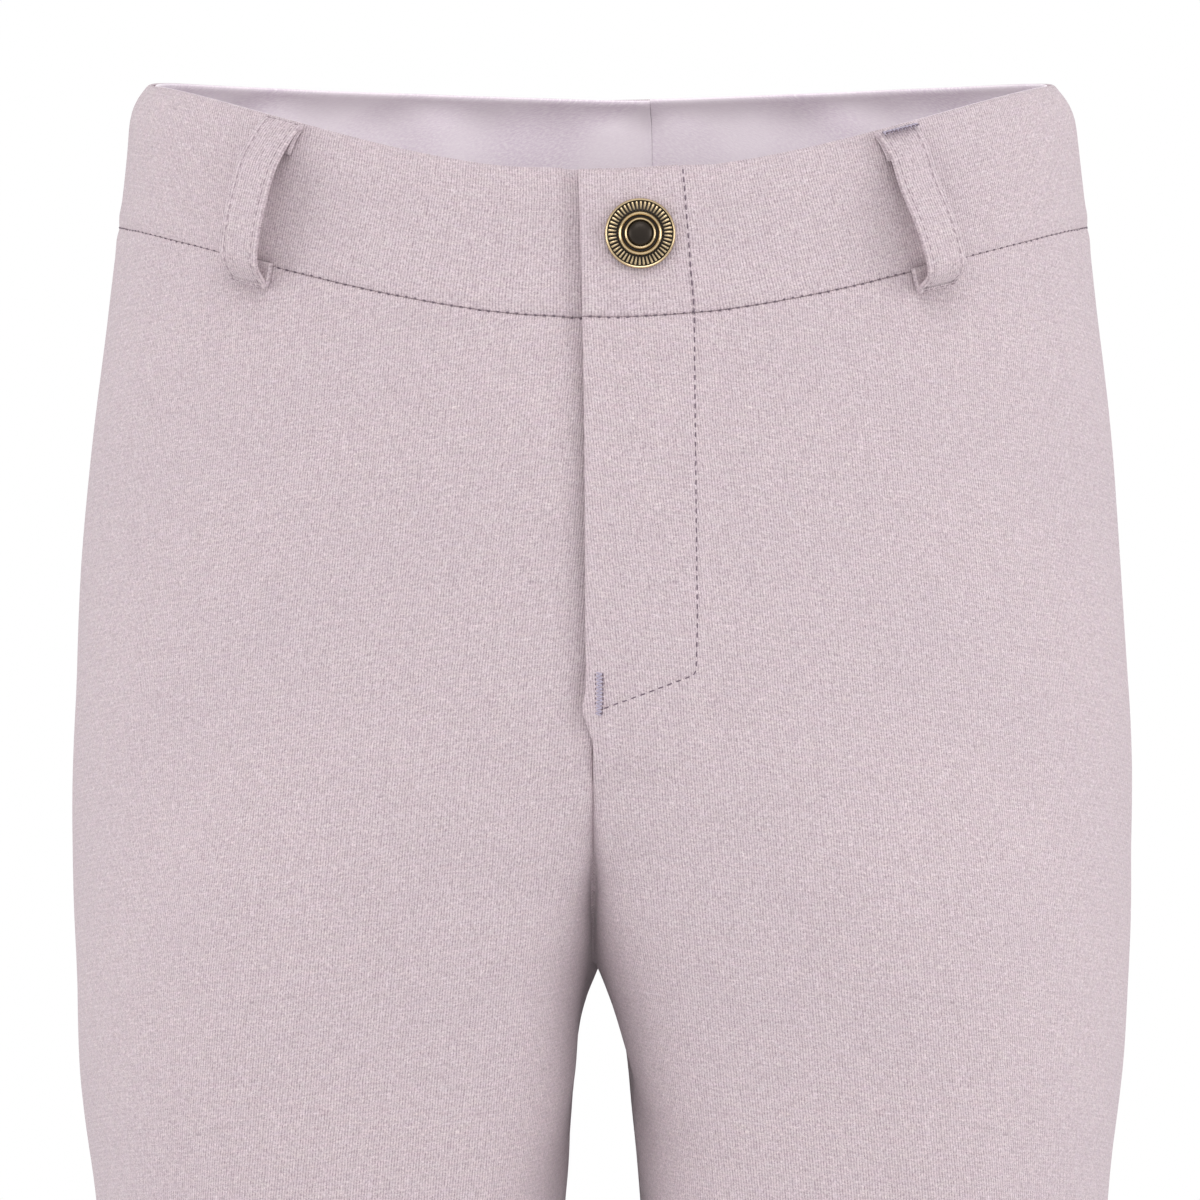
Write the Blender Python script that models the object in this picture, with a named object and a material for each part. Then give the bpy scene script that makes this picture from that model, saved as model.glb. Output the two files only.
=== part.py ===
"""Child's riding jodhpurs in stretch knit, hollow and filled out as when worn.

Frame: +Z up, the front faces -Y, the wearer's left side is +X. The origin is the centre of the
waist opening, level with the top edge of the waistband at the side seams, where the wearer's
waist holds the garment. Sizes are in millimetres and turn into metres when a mesh is made.

A place on the cloth of one half is given by two numbers:
  down    how far below the top edge it is, measured at the side seam
  around  0 at the side seam, -1 at the centre front, +1 at the centre back; on the legs
          -1 and +1 meet at the inseam, and past -1 or +1 the place is on the other half
"""

import math

import bmesh
import bpy
import numpy as np

MM = 0.001

# Cloth
SEAM_GAP = 0.3
HALF_GAP = SEAM_GAP / 2
CLOTH_WALL = 1.2
FACING_WALL = 1.0
HEM_WALL = 2.2
HEM_HEIGHT = 20.0

# Heights, as distances below the top edge at the side seam
BAND_HEIGHT = 34.2
CROTCH = 210.0
HEM = 840.0
FRONT_DIP = 23.4  # the top edge lies this much lower at the centre front than at the sides
DIP_POWER = 2.1
BACK_RISE = 2.1  # the back's top edge lies this much higher between the side and the centre back
RISE_POWER = 0.6
DIP_ENDS = 165.0  # the dip and the rise have faded out this far down

# Front closure: the left side laps over the right one
LAP = 3.9  # how far the folded edge passes the centre front
LAP_LIFT = CLOTH_WALL + SEAM_GAP
BAND_UNDERLAP = 19.0
FLY_UNDERLAP = 12.0
UNDERLAP_END = 128.0
UNDERLAP_SETTLED = 140.0
LAP_FULL_TO = 19.6  # from the centre front to where the upper layer starts to come down
LAP_DOWN_AT = 27.0
FLY_END = 146.0
FLY_EDGE_SETTLED = 158.0
FLY_FLAT_AT = 170.0

# Belt loops
LOOP_WIDTH = 10.5
LOOP_THICKNESS = 1.5
LOOP_TOP = 1.9
LOOP_BOTTOM = 38.0
LOOP_TOP_FLAP = 5.5
LOOP_BOTTOM_FLAP = 4.5
LOOP_LIFT = 0.45 + LOOP_THICKNESS / 2  # a little clear, as the band curves under the flat strip
LOOP_FOLD_RADIUS = (LOOP_THICKNESS + SEAM_GAP) / 2
FOLD_STEPS = 5

# Button
BUTTON_FROM_CENTRE = 9.0
BUTTON_DOWN = 15.0
POST_RADIUS = 2.2
POST_HOLE_RADIUS = 2.5
PLATE_RADIUS = 5.0
PLATE_THICKNESS = 1.0
PLATE_CLEARANCE = 0.5  # at the post; the curved cloth comes nearer to the flat plate at its rim
CUTTER_DEPTH = 20.0
BUTTON_SEGMENTS = 28

# The facing's join is a little to the wearer's left of the centre back
FACING_JOIN = 12.8
FACING_TOP = 0.6
FACING_BOTTOM = 33.6

# Horizontal sections of one half. A section is a rounded form about (centre, mid-depth):
# half_width and inner_edge are its reach in x, front and back its reach in y. Above the crotch
# it is cut off at the centre plane. inner_power squares up the side that faces the other leg.
SECTION_COLUMNS = ("down", "half_width", "inner_edge", "centre", "front", "back", "inner_power")
SECTIONS = (
    (0.0, 108.9, -108.9, 0.0, -71.0, 72.0, 2.2),
    (3.5, 111.6, -111.6, 0.0, -73.2, 74.2, 2.2),
    (13.0, 114.0, -114.0, 0.0, -75.0, 76.4, 2.2),
    (33.0, 115.9, -115.9, 0.0, -77.0, 80.0, 2.2),
    (51.0, 118.3, -118.3, 0.0, -78.6, 84.0, 2.2),
    (75.0, 121.2, -120.0, 0.0, -80.2, 88.6, 2.2),
    (100.0, 123.6, -116.0, 0.5, -81.2, 92.6, 2.25),
    (124.0, 125.4, -98.0, 3.5, -81.6, 95.2, 2.35),
    (148.0, 126.8, -63.0, 13.0, -81.6, 96.0, 2.5),
    (170.0, 127.3, -31.5, 31.0, -81.0, 94.4, 3.2),
    (190.0, 127.2, -12.5, 49.0, -80.0, 90.8, 4.0),
    (200.0, 126.8, -5.4, 56.3, -79.3, 88.3, 4.6),
    (210.0, 126.2, 0.0, 61.6, -78.5, 85.6, 4.8),
    (220.0, 125.6, 3.5, 64.2, -77.6, 82.6, 4.8),
    (235.0, 124.6, 6.2, 65.4, -76.3, 78.2, 4.6),
    (262.0, 121.7, 9.0, 65.3, -73.8, 71.6, 4.0),
    (300.0, 118.0, 11.0, 64.5, -70.6, 65.2, 3.4),
    (360.0, 113.6, 12.6, 63.1, -66.0, 57.2, 2.7),
    (430.0, 109.9, 14.0, 62.0, -61.0, 51.0, 2.3),
    (510.0, 107.0, 16.0, 61.5, -56.0, 48.0, 2.1),
    (580.0, 105.2, 18.0, 61.6, -50.6, 49.4, 2.1),
    (640.0, 103.4, 20.0, 61.7, -44.6, 51.0, 2.1),
    (740.0, 98.4, 25.0, 61.7, -33.4, 46.4, 2.1),
    (840.0, 94.0, 30.0, 62.0, -25.0, 41.0, 2.1),
)
OUTER_POWER = 2.2
ARC_SAMPLES = 96
HALVINGS = 40  # in the search for where a section ends

# Where the legs part, a section grows suddenly by the cloth that turns under the crotch. The
# columns of points take no part in that, apart from those near the crotch seam: they follow the
# lengths of these sections instead.
STEADY_ROWS = (60.0, 90.0, 120.0, 145.0, 165.0, 213.0, 225.0, 240.0, 270.0, 300.0)
STEADY_FROM = (110.0, 150.0)
STEADY_TO = (225.0, 260.0)

# Rows of points down the panels: above the crotch they crowd towards it, as the cloth turns under
UPPER_ROWS = (43.0, 52.0, 66.0, 84.0, 104.0, 124.0, 138.0)
CLOSURE_ROWS = (FLY_END, 150.0, 154.0, FLY_EDGE_SETTLED, 163.0)
CROTCH_REACH = CROTCH - FLY_FLAT_AT
CROTCH_STEPS = (1.0, 0.82, 0.66, 0.5, 0.36, 0.22, 0.08)
LEG_ROWS = (212.0, 217.0, 226.0, 242.0, 268.0, 310.0, 365.0, 430.0, 500.0, 570.0, 640.0, 710.0, 775.0)
BAND_ROWS = (0.0, 1.2, 3.5, 8.0, 15.0, 25.0, BAND_HEIGHT - HALF_GAP)
BACK_COLUMNS = 10
SIDE_COLUMNS = 6  # from where the lap comes down to the side seam
LAP_COLUMNS = (0.0, 6.0, 12.5, LAP_FULL_TO, 23.3, LAP_DOWN_AT)  # from the centre front

# (along, height): a belt loop's middle layer above the cloth, from its top (0) to its foot (1)
LOOP_BOW = (
    (0.0, 3.0), (0.09, 4.0), (0.2, 6.2), (0.34, 8.0), (0.5, 9.0), (0.68, 9.2), (0.82, 8.5), (0.93, 6.2),
    (1.0, 3.0),
)

# Belt loops: half is +1 on the wearer's left, from_centre the distance along the band from the
# centre front or back, lean how much further from it the foot lies than the top, and sag how far
# its bow has slipped towards the foot (1: not at all)
LOOP_COLUMNS = ("name", "half", "end", "from_centre", "lean", "sag")
LOOPS = (
    ("loop_front_left", 1, "front", 74.5, 5.0, 2.0),
    ("loop_front_right", -1, "front", 81.8, 2.8, 1.1),
    ("loop_back_left", 1, "back", 114.0, 0.0, 1.3),
    ("loop_back_right", -1, "back", 100.0, 0.0, 1.2),
    ("loop_centre_back", 1, "back", 0.0, 0.0, 1.0),
)

# (radius, height above the band's cloth): half profile of the button's cap
CAP = (
    (0.0, 2.75), (1.4, 2.65), (2.5, 2.3), (2.9, 1.85), (3.15, 1.85), (3.35, 2.25), (3.6, 2.25),
    (3.8, 1.7), (4.4, 1.65), (4.6, 2.05), (4.9, 2.05), (5.1, 1.55), (5.7, 1.45), (5.95, 1.75),
    (7.5, 1.6), (7.75, 1.7), (8.05, 1.6), (8.25, 1.25), (8.2, 0.8), (7.9, 0.3),
)

SHARP_ANGLE = 40.0
STEP_DOWN = 0.5  # steps that the directions of the cloth are measured over
STEP_AROUND = 0.002
NARROWEST_COLUMN = 0.01  # as a share of a quarter of the band

# name: base colour, roughness, metallic
FINISHES = {
    "knit": ((0.61, 0.52, 0.55), 0.9, 0.0),
    "facing_satin": ((0.72, 0.63, 0.72), 0.45, 0.0),
    "antique_brass": ((0.42, 0.33, 0.18), 0.35, 1.0),
}


def smooth_columns(columns, rows):
    """A natural cubic spline through each column of a table, as functions of its first column."""
    table = np.array(rows, dtype=float)
    knots = table[:, 0]
    steps = np.diff(knots)
    count = len(knots)
    system = np.eye(count)
    for i in range(1, count - 1):
        system[i, i - 1:i + 2] = steps[i - 1], 2 * (steps[i - 1] + steps[i]), steps[i]

    def curve(values):
        right = np.zeros(count)
        right[1:-1] = 3 * np.diff(np.diff(values) / steps)
        bend = np.linalg.solve(system, right)
        slope = np.diff(values) / steps - steps * (2 * bend[:-1] + bend[1:]) / 3

        def read(at):
            at = np.clip(at, knots[0], knots[-1])
            i = np.clip(np.searchsorted(knots, at, side="right") - 1, 0, count - 2)
            t = at - knots[i]
            twist = (bend[i + 1] - bend[i]) / (3 * steps[i])
            return values[i] + t * (slope[i] + t * (bend[i] + t * twist))

        return read

    return {name: curve(table[:, k]) for k, name in enumerate(columns)}


SECTION = smooth_columns(SECTION_COLUMNS, SECTIONS)


def ease(value, start, end):
    """0 at start, 1 at end, and level at both."""
    t = np.clip((np.asarray(value, dtype=float) - start) / (end - start), 0.0, 1.0)
    return t * t * (3 - 2 * t)


def section_at(down, inset, is_front):
    """The sizes of one quarter of the section, drawn in by inset."""
    centre = SECTION["centre"](down)
    front = SECTION["front"](down)
    back = SECTION["back"](down)
    middle = (front + back) / 2
    return {
        "centre": centre,
        "middle": middle,
        "outer": SECTION["half_width"](down) - inset - centre,
        "inner": centre - SECTION["inner_edge"](down) - inset,
        "depth": (back - front) / 2 - inset,
        "power": SECTION["inner_power"](down),
        "sign": np.where(is_front, -1.0, 1.0),
    }


def section_point(section, angle):
    """A point of the section, at an angle from straight out at the side."""
    cosine, sine = np.cos(angle), np.sin(angle)
    outside = cosine >= 0
    reach = np.where(outside, section["outer"], section["inner"])
    power = np.where(outside, OUTER_POWER, section["power"])
    radius = ((np.abs(cosine) / reach) ** power + (np.abs(sine) / section["depth"]) ** power) ** (-1 / power)
    return section["centre"] + radius * cosine, section["middle"] + section["sign"] * radius * sine


def end_angle(section, gap):
    """Where the section meets the plane x = gap or, below the crotch, the inseam."""
    low = np.full_like(section["centre"], math.pi / 3)
    high = np.full_like(section["centre"], math.pi)
    for _ in range(HALVINGS):
        middle = (low + high) / 2
        beyond = section_point(section, middle)[0] < gap
        low, high = np.where(beyond, low, middle), np.where(beyond, middle, high)
    return np.minimum(low, math.pi - HALF_GAP / section["inner"])


def height_at(down, around):
    """Height of a place, with the dip of the top edge at the front and its rise behind the sides."""
    share = np.clip(-around, 0.0, None)
    share = np.where(share > 1, 2 - share, share)
    dip = FRONT_DIP * np.sin(share * math.pi / 2) ** DIP_POWER
    dip = dip - BACK_RISE * np.sin(np.clip(around, 0.0, 1.0) ** RISE_POWER * math.pi)
    return -down - dip * (1 - ease(down, BAND_HEIGHT, DIP_ENDS))


def arc(down, is_front, inset, gap):
    """One quarter of each section, side seam to end: its sizes, angles and running lengths."""
    section = section_at(down, inset, is_front)
    angles = end_angle(section, gap)[:, None] * np.linspace(0.0, 1.0, ARC_SAMPLES + 1)
    x, y = section_point({name: value[:, None] for name, value in section.items()}, angles)
    steps = np.hypot(np.diff(x, axis=1), np.diff(y, axis=1))
    return section, angles, np.hstack([np.zeros((len(down), 1)), steps.cumsum(axis=1)])


def quarter_length(down, end):
    """Length along the section from the side seam to the centre front or back, or to the inseam."""
    down = np.atleast_1d(np.asarray(down, dtype=float))
    return arc(down, np.full(down.shape, end == "front"), np.zeros_like(down), np.zeros_like(down))[2][:, -1]


def steady_length(end):
    """The length of a quarter as a smooth function of down, without the cloth under the crotch."""
    rows = list(zip(STEADY_ROWS, quarter_length(STEADY_ROWS, end)))
    return smooth_columns(("down", "length"), rows)["length"]


STEADY_LENGTH = {"front": steady_length("front"), "back": steady_length("back")}
FRONT_LENGTH = float(quarter_length(BAND_HEIGHT, "front")[0])
BACK_LENGTH = float(quarter_length(BAND_HEIGHT, "back")[0])


def spread(share, down, is_front, inset, length):
    """Share of the arc at which a column lies, held steady where the legs part."""
    steady = np.where(is_front, STEADY_LENGTH["front"](down), STEADY_LENGTH["back"](down))
    turn = math.pi / 2 * (1 + ease(down, STEADY_FROM[1], CROTCH))
    near = ease(down, *STEADY_FROM) * (1 - ease(down, *STEADY_TO))
    growth = ((steady - turn * inset) / length - 1) * near
    return share * (1 + growth * (1 - ease(share, 0.5, 1.0)))


def place(down, around, inset=0.0, gap=0.0):
    """Points of the cloth, in millimetres, for arrays of places; inset is how far inside it they lie."""
    values = np.broadcast_arrays(*(np.asarray(v, dtype=float) for v in (down, around, inset, gap)))
    shape = values[0].shape
    down, around, inset, gap = (v.ravel() for v in values)
    is_front = around < 0
    share = np.abs(around)
    side = np.where(share > 1, -1.0, 1.0)
    share = np.where(share > 1, 2 - share, share)
    section, angles, lengths = arc(down, is_front, inset, gap)
    wanted = spread(share, down, is_front, inset, lengths[:, -1]) * lengths[:, -1]
    i = np.clip((lengths < wanted[:, None]).sum(axis=1) - 1, 0, ARC_SAMPLES - 1)
    row = np.arange(len(down))
    part = (wanted - lengths[row, i]) / (lengths[row, i + 1] - lengths[row, i])
    x, y = section_point(section, angles[row, i] + part * (angles[row, i + 1] - angles[row, i]))
    return np.stack([side * x, y, height_at(down, around)], axis=-1).reshape(*shape, 3)


def frame_at(down, around):
    """Point of the cloth, its outward normal and its direction of growing around."""
    point = place(down, around)
    across = place(down, around + STEP_AROUND) - place(down, around - STEP_AROUND)
    along = place(down + STEP_DOWN, around) - place(max(down - STEP_DOWN, 0.0), around)
    across /= np.linalg.norm(across)
    normal = np.cross(along, across)
    return point, normal / np.linalg.norm(normal), across


def lap_lift(down, from_centre):
    """How far the upper layer of the front closure stands above the form."""
    sideways = 1 - ease(from_centre, LAP_FULL_TO, LAP_DOWN_AT)
    return LAP_LIFT * sideways * (1 - ease(down, FLY_EDGE_SETTLED, FLY_FLAT_AT))


def finish(name):
    """The named Principled material, made once."""
    material = bpy.data.materials.get(name)
    if material is None:
        colour, roughness, metallic = FINISHES[name]
        material = bpy.data.materials.new(name)
        material.use_nodes = True
        shader = material.node_tree.nodes["Principled BSDF"]
        shader.inputs["Base Color"].default_value = (*colour, 1.0)
        shader.inputs["Roughness"].default_value = roughness
        shader.inputs["Metallic"].default_value = metallic
    return material


def add_object(name, mesh_data, finish_name):
    """Turn a bmesh in metres into a named object of the scene, with its faces outward."""
    bmesh.ops.recalc_face_normals(mesh_data, faces=mesh_data.faces)
    mesh = bpy.data.meshes.new(name)
    mesh_data.to_mesh(mesh)
    mesh_data.free()
    mesh.materials.append(finish(finish_name))
    mesh.shade_smooth()
    mesh.set_sharp_from_angle(angle=math.radians(SHARP_ANGLE))
    thing = bpy.data.objects.new(name, mesh)
    bpy.context.scene.collection.objects.link(thing)
    return thing


def add_wall(name, outer, inner, half, finish_name):
    """A closed wall between two grids of points, which meet round their edges."""
    rows, columns = outer.shape[:2]
    mesh_data = bmesh.new()
    layers = []
    for grid in (outer, inner):
        points = grid * (half * MM, MM, MM)
        layers.append([[mesh_data.verts.new(point) for point in row] for row in points])
    for layer in layers:
        for r in range(rows - 1):
            for c in range(columns - 1):
                mesh_data.faces.new((layer[r][c], layer[r][c + 1], layer[r + 1][c + 1], layer[r + 1][c]))
    rim = [(0, c) for c in range(columns)] + [(r, columns - 1) for r in range(1, rows)]
    rim += [(rows - 1, c) for c in range(columns - 2, -1, -1)] + [(r, 0) for r in range(rows - 2, 0, -1)]
    for (r1, c1), (r2, c2) in zip(rim, rim[1:] + rim[:1]):
        mesh_data.faces.new((layers[0][r1][c1], layers[0][r2][c2], layers[1][r2][c2], layers[1][r1][c1]))
    return add_object(name, mesh_data, finish_name)


def panel_rows():
    """Distances down of the rows of a leg panel."""
    crotch_rows = [CROTCH - CROTCH_REACH * step**2 for step in CROTCH_STEPS]
    top = [BAND_HEIGHT + HALF_GAP]
    return np.array([*top, *UPPER_ROWS, *CLOSURE_ROWS, *crotch_rows, *LEG_ROWS, HEM - HEM_HEIGHT, HEM])


def panel_inset(down):
    """Depth of a panel's inner face: its wall, and the turned-up hem."""
    return CLOTH_WALL + (HEM_WALL - CLOTH_WALL) * (down >= HEM - HEM_HEIGHT)


def add_back_panel(name, half):
    """A back leg panel, from the waist seam to the hem."""
    down = panel_rows()[:, None]
    seam = HALF_GAP / BACK_LENGTH
    around = np.linspace(seam, 1.0, BACK_COLUMNS)[None, :]
    outer = place(down, around, 0.0, HALF_GAP)
    inner = place(down, around, panel_inset(down), HALF_GAP)
    add_wall(name, outer, inner, half, "knit")


def front_places(start):
    """Places from start, a distance from the centre front, to the side seam."""
    lap = [start] + [column for column in LAP_COLUMNS if column > start]
    near = [-1 + distance / FRONT_LENGTH for distance in lap]
    return near + list(np.linspace(near[-1], 0.0, SIDE_COLUMNS + 1)[1:])


def add_front_panel(name, half, past_centre, edge_end, edge_settled, lifted):
    """A front leg panel; its edge passes the centre front by past_centre down to edge_end."""
    down = panel_rows()[:, None]
    settled = ease(down, edge_end, edge_settled)
    lengths = quarter_length(down[:, 0], "front")[:, None]
    edge = -1 - (past_centre / lengths) * (1 - settled)
    inner_columns = front_places(0.0)[1:]
    inner_columns[-1] = -HALF_GAP / FRONT_LENGTH
    around = np.hstack([edge, np.tile(inner_columns, (len(down), 1))])
    lift = lap_lift(down, (1 + around) * lengths) if lifted else 0.0
    gap = HALF_GAP * settled
    outer = place(down, around, -lift, gap)
    inner = place(down, around, panel_inset(down) - lift, gap)
    add_wall(name, outer, inner, half, "knit")


def band_places(start, back_reach):
    """Places along half of the band, from start at the front to back_reach past the centre back."""
    end = 1 + back_reach / BACK_LENGTH
    back = [column for column in np.linspace(0.0, 1.0, BACK_COLUMNS)[1:] if column < end - NARROWEST_COLUMN]
    return np.array(front_places(start) + back + [end])[None, :]


def add_band(name, half, start, lifted):
    """Half of the waistband's outer cloth, from the front opening to the centre back."""
    down = np.array(BAND_ROWS)[:, None]
    around = band_places(start, 0.0)
    lift = lap_lift(down, (1 + around) * FRONT_LENGTH) if lifted else 0.0
    gap = np.where(around > 0, HALF_GAP, 0.0)
    outer = place(down, around, -lift, gap)
    inner = place(down, around, CLOTH_WALL - lift, gap)
    return add_wall(name, outer, inner, half, "knit")


def add_facing(name, half, start, back_reach, lifted):
    """Half of the waistband's smooth facing, just inside the band's cloth."""
    down = np.array([FACING_TOP, *BAND_ROWS[1:-1], FACING_BOTTOM])[:, None]
    around = band_places(start, back_reach)
    lift = lap_lift(down, (1 + around) * FRONT_LENGTH) if lifted else 0.0
    depth = CLOTH_WALL + SEAM_GAP - lift
    outer = place(down, around, depth)
    inner = place(down, around, depth + FACING_WALL)
    return add_wall(name, outer, inner, half, "facing_satin")


def loop_path(sag):
    """Middle line of a belt loop as distances down and heights above the cloth, flap to flap."""
    flap = LOOP_LIFT
    fold = LOOP_FOLD_RADIUS
    turns = np.linspace(-math.pi / 2, math.pi / 2, FOLD_STEPS + 1)
    path = [(LOOP_TOP + LOOP_TOP_FLAP, flap)]
    path += [(LOOP_TOP - fold * math.cos(t), flap + fold + fold * math.sin(t)) for t in turns]
    length = LOOP_BOTTOM - LOOP_TOP
    path += [(LOOP_TOP + along ** (1 / sag) * length, height) for along, height in LOOP_BOW[1:-1]]
    path += [(LOOP_BOTTOM + fold * math.cos(t), flap + fold + fold * math.sin(t)) for t in turns[::-1]]
    path.append((LOOP_BOTTOM - LOOP_BOTTOM_FLAP, flap))
    return np.array(path)


def add_belt_loop(name, half, end, from_centre, lean, sag):
    """A folded strip that stands off the band, with both ends turned under and sewn down."""
    path = loop_path(sag)
    direction = np.gradient(path, axis=0)
    direction /= np.linalg.norm(direction, axis=1)[:, None]
    sideways = np.stack([-direction[:, 1], direction[:, 0]], axis=1) * LOOP_THICKNESS / 2
    sign = -1 if end == "front" else 1
    reach = FRONT_LENGTH if end == "front" else BACK_LENGTH
    rings = []
    for (down, _), offset, point in zip(path, sideways, path):
        share = np.clip((down - LOOP_TOP) / (LOOP_BOTTOM - LOOP_TOP), 0.0, 1.0)
        middle = sign * (1 - (from_centre + lean * share) / reach)
        ring = []
        for layer, edge in ((1, -1), (1, 1), (-1, 1), (-1, -1)):
            below, height = point + layer * offset
            on_cloth = max(below, 0.0)
            base, _, across = frame_at(on_cloth, middle)
            base = base + (0.0, 0.0, on_cloth - below)
            outward = np.cross((0.0, 0.0, -1.0), across)
            ring.append(base + outward / np.linalg.norm(outward) * height + across * edge * LOOP_WIDTH / 2)
        rings.append(np.array(ring) * (half * MM, MM, MM))
    mesh_data = bmesh.new()
    verts = [[mesh_data.verts.new(corner) for corner in ring] for ring in rings]
    for first, second in zip(verts, verts[1:]):
        for k in range(4):
            mesh_data.faces.new((first[k], first[(k + 1) % 4], second[(k + 1) % 4], second[k]))
    mesh_data.faces.new(verts[0])
    mesh_data.faces.new(verts[-1])
    add_object(name, mesh_data, "knit")


def button_frame():
    """Matrix that stands a turned piece on the band: +Z outward, the origin on its cloth."""
    around = -1 + BUTTON_FROM_CENTRE / FRONT_LENGTH
    point, normal, across = frame_at(BUTTON_DOWN, around)
    point = (point + normal * LAP_LIFT) * MM
    upward = np.cross(normal, across)
    frame = np.eye(4)
    frame[:3, 0], frame[:3, 1], frame[:3, 2], frame[:3, 3] = across, upward, normal, point
    return frame


def turned(profile):
    """A bmesh turned about Z from a half profile, in millimetres, whose ends lie on the axis."""
    mesh_data = bmesh.new()
    verts = [mesh_data.verts.new((radius * MM, 0.0, height * MM)) for radius, height in profile]
    edges = [mesh_data.edges.new(pair) for pair in zip(verts, verts[1:])]
    bmesh.ops.spin(mesh_data, geom=verts + edges, cent=(0, 0, 0), axis=(0, 0, 1), angle=2 * math.pi,
                   steps=BUTTON_SEGMENTS, use_merge=True)
    bmesh.ops.remove_doubles(mesh_data, verts=mesh_data.verts, dist=0.01 * MM)
    return mesh_data


def stand_on_band(mesh_data):
    """Move a bmesh from its own frame to the button's place."""
    frame = button_frame()
    for vert in mesh_data.verts:
        vert.co = (frame @ (*vert.co, 1.0))[:3]
    return mesh_data


def add_button():
    """The cap on the band's face, with the post that goes through both laps, and its back plate."""
    plate_top = -(2 * CLOTH_WALL + FACING_WALL + 2 * SEAM_GAP + PLATE_CLEARANCE)
    plate_bottom = plate_top - PLATE_THICKNESS
    post_end = plate_bottom - SEAM_GAP
    post = [(POST_RADIUS, SEAM_GAP), (POST_RADIUS, post_end), (0.0, post_end)]
    add_object("button", stand_on_band(turned([*CAP, *post])), "antique_brass")
    ring = [(POST_HOLE_RADIUS, plate_top), (PLATE_RADIUS, plate_top), (PLATE_RADIUS, plate_bottom),
            (POST_HOLE_RADIUS, plate_bottom), (POST_HOLE_RADIUS, plate_top)]
    add_object("button_back", stand_on_band(turned(ring)), "antique_brass")


def cut_post_holes(walls):
    """Open the hole for the button's post in each layer that it passes."""
    mesh_data = bmesh.new()
    bmesh.ops.create_cone(mesh_data, cap_ends=True, segments=BUTTON_SEGMENTS, radius1=POST_HOLE_RADIUS * MM,
                          radius2=POST_HOLE_RADIUS * MM, depth=CUTTER_DEPTH * MM)
    cutter = add_object("post_hole_cutter", stand_on_band(mesh_data), "antique_brass")
    cutter.hide_render = True
    cutter.display_type = "WIRE"
    for wall in walls:
        hole = wall.modifiers.new("post_hole", "BOOLEAN")
        hole.object = cutter
        hole.operation = "DIFFERENCE"
        hole.solver = "EXACT"


def build():
    for thing in list(bpy.data.objects):
        bpy.data.objects.remove(thing, do_unlink=True)
    add_front_panel("front_left", 1, LAP, FLY_END, FLY_EDGE_SETTLED, True)
    add_front_panel("front_right", -1, FLY_UNDERLAP, UNDERLAP_END, UNDERLAP_SETTLED, False)
    add_back_panel("back_left", 1)
    add_back_panel("back_right", -1)
    band_left = add_band("waistband_left", 1, -LAP, True)
    band_right = add_band("waistband_right", -1, -BAND_UNDERLAP, False)
    add_facing("facing_left", 1, LAP_FULL_TO, -FACING_JOIN - HALF_GAP, True)
    facing_right = add_facing("facing_right", -1, -BAND_UNDERLAP, FACING_JOIN - HALF_GAP, False)
    for loop in LOOPS:
        add_belt_loop(**dict(zip(LOOP_COLUMNS, loop)))
    add_button()
    cut_post_holes([band_left, band_right, facing_right])


build()
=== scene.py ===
"""The looks of a child's riding jodhpurs: knitted cloth, satin facing, thread and button.

Frame: +Z up, the front faces -Y, the wearer's left side is +X, and the origin is the centre of the
waist opening. Sizes are in millimetres and turn into metres when a mesh is made.

A place on the cloth of one half is given by two numbers:
  down    how far below the top edge it is, measured at the side seam
  around  0 at the side seam, -1 at the centre front, +1 at the centre back; on the legs
          -1 and +1 meet at the inseam, and past -1 or +1 the place is on the other half
"""

import math

import bmesh
import bpy
import numpy as np
from mathutils import Matrix, Vector


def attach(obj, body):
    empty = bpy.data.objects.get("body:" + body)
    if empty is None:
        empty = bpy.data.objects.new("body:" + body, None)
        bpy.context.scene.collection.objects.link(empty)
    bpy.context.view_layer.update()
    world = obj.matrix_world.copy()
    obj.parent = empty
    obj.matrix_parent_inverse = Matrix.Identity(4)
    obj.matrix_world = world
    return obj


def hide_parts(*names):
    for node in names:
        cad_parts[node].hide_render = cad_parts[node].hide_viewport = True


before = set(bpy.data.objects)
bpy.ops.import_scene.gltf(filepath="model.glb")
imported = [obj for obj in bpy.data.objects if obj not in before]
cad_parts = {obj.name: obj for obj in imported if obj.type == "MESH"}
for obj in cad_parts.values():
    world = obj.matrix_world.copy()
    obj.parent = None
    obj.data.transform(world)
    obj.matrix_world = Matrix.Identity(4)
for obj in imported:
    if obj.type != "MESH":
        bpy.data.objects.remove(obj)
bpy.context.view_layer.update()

bl_info = {
    "name": "Riding jodhpurs",
    "version": (1, 0, 0),
    "blender": (4, 5, 0),
    "location": "View3D > Sidebar > Jodhpurs",
    "description": "Models the cloth, facing, belt loops, stitching and button of riding jodhpurs",
    "category": "Object",
}

MM = 0.001
HALVES = (("left", 1), ("right", -1))

# Cloth
SEAM_GAP = 0.3
HALF_GAP = 0.02  # sewn cloth meets closer than the solids do
CLOTH_WALL = 1.2
FACING_WALL = 1.0
HEM_WALL = 2.2
HEM_HEIGHT = 20.0
HEM_STEP = 0.35
HEM_GROOVE = 0.4
LEG_END = (780.0, 830.0)  # the panels' edges are free from here down
ALLOWANCE_RISE, ALLOWANCE_AT, ALLOWANCE_WIDTH = 0.2, 4.0, 2.5  # the seam allowance under a panel's edge
ALLOWANCE_STARTS = (180.0, 230.0)
EDGE_ROUNDING = 0.8  # how far from its edge a wall starts to thin, at a free edge
SEWN_ROUNDING = 0.22  # and at a sewn one
SEWN_WALL = 0.45
EDGE_WALL = 0.16  # what is left of the wall at its very edge, as a share
EDGE_SHADE_WIDTH = 0.9  # painted shade darkens the cloth this near to a piece's edges
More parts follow.
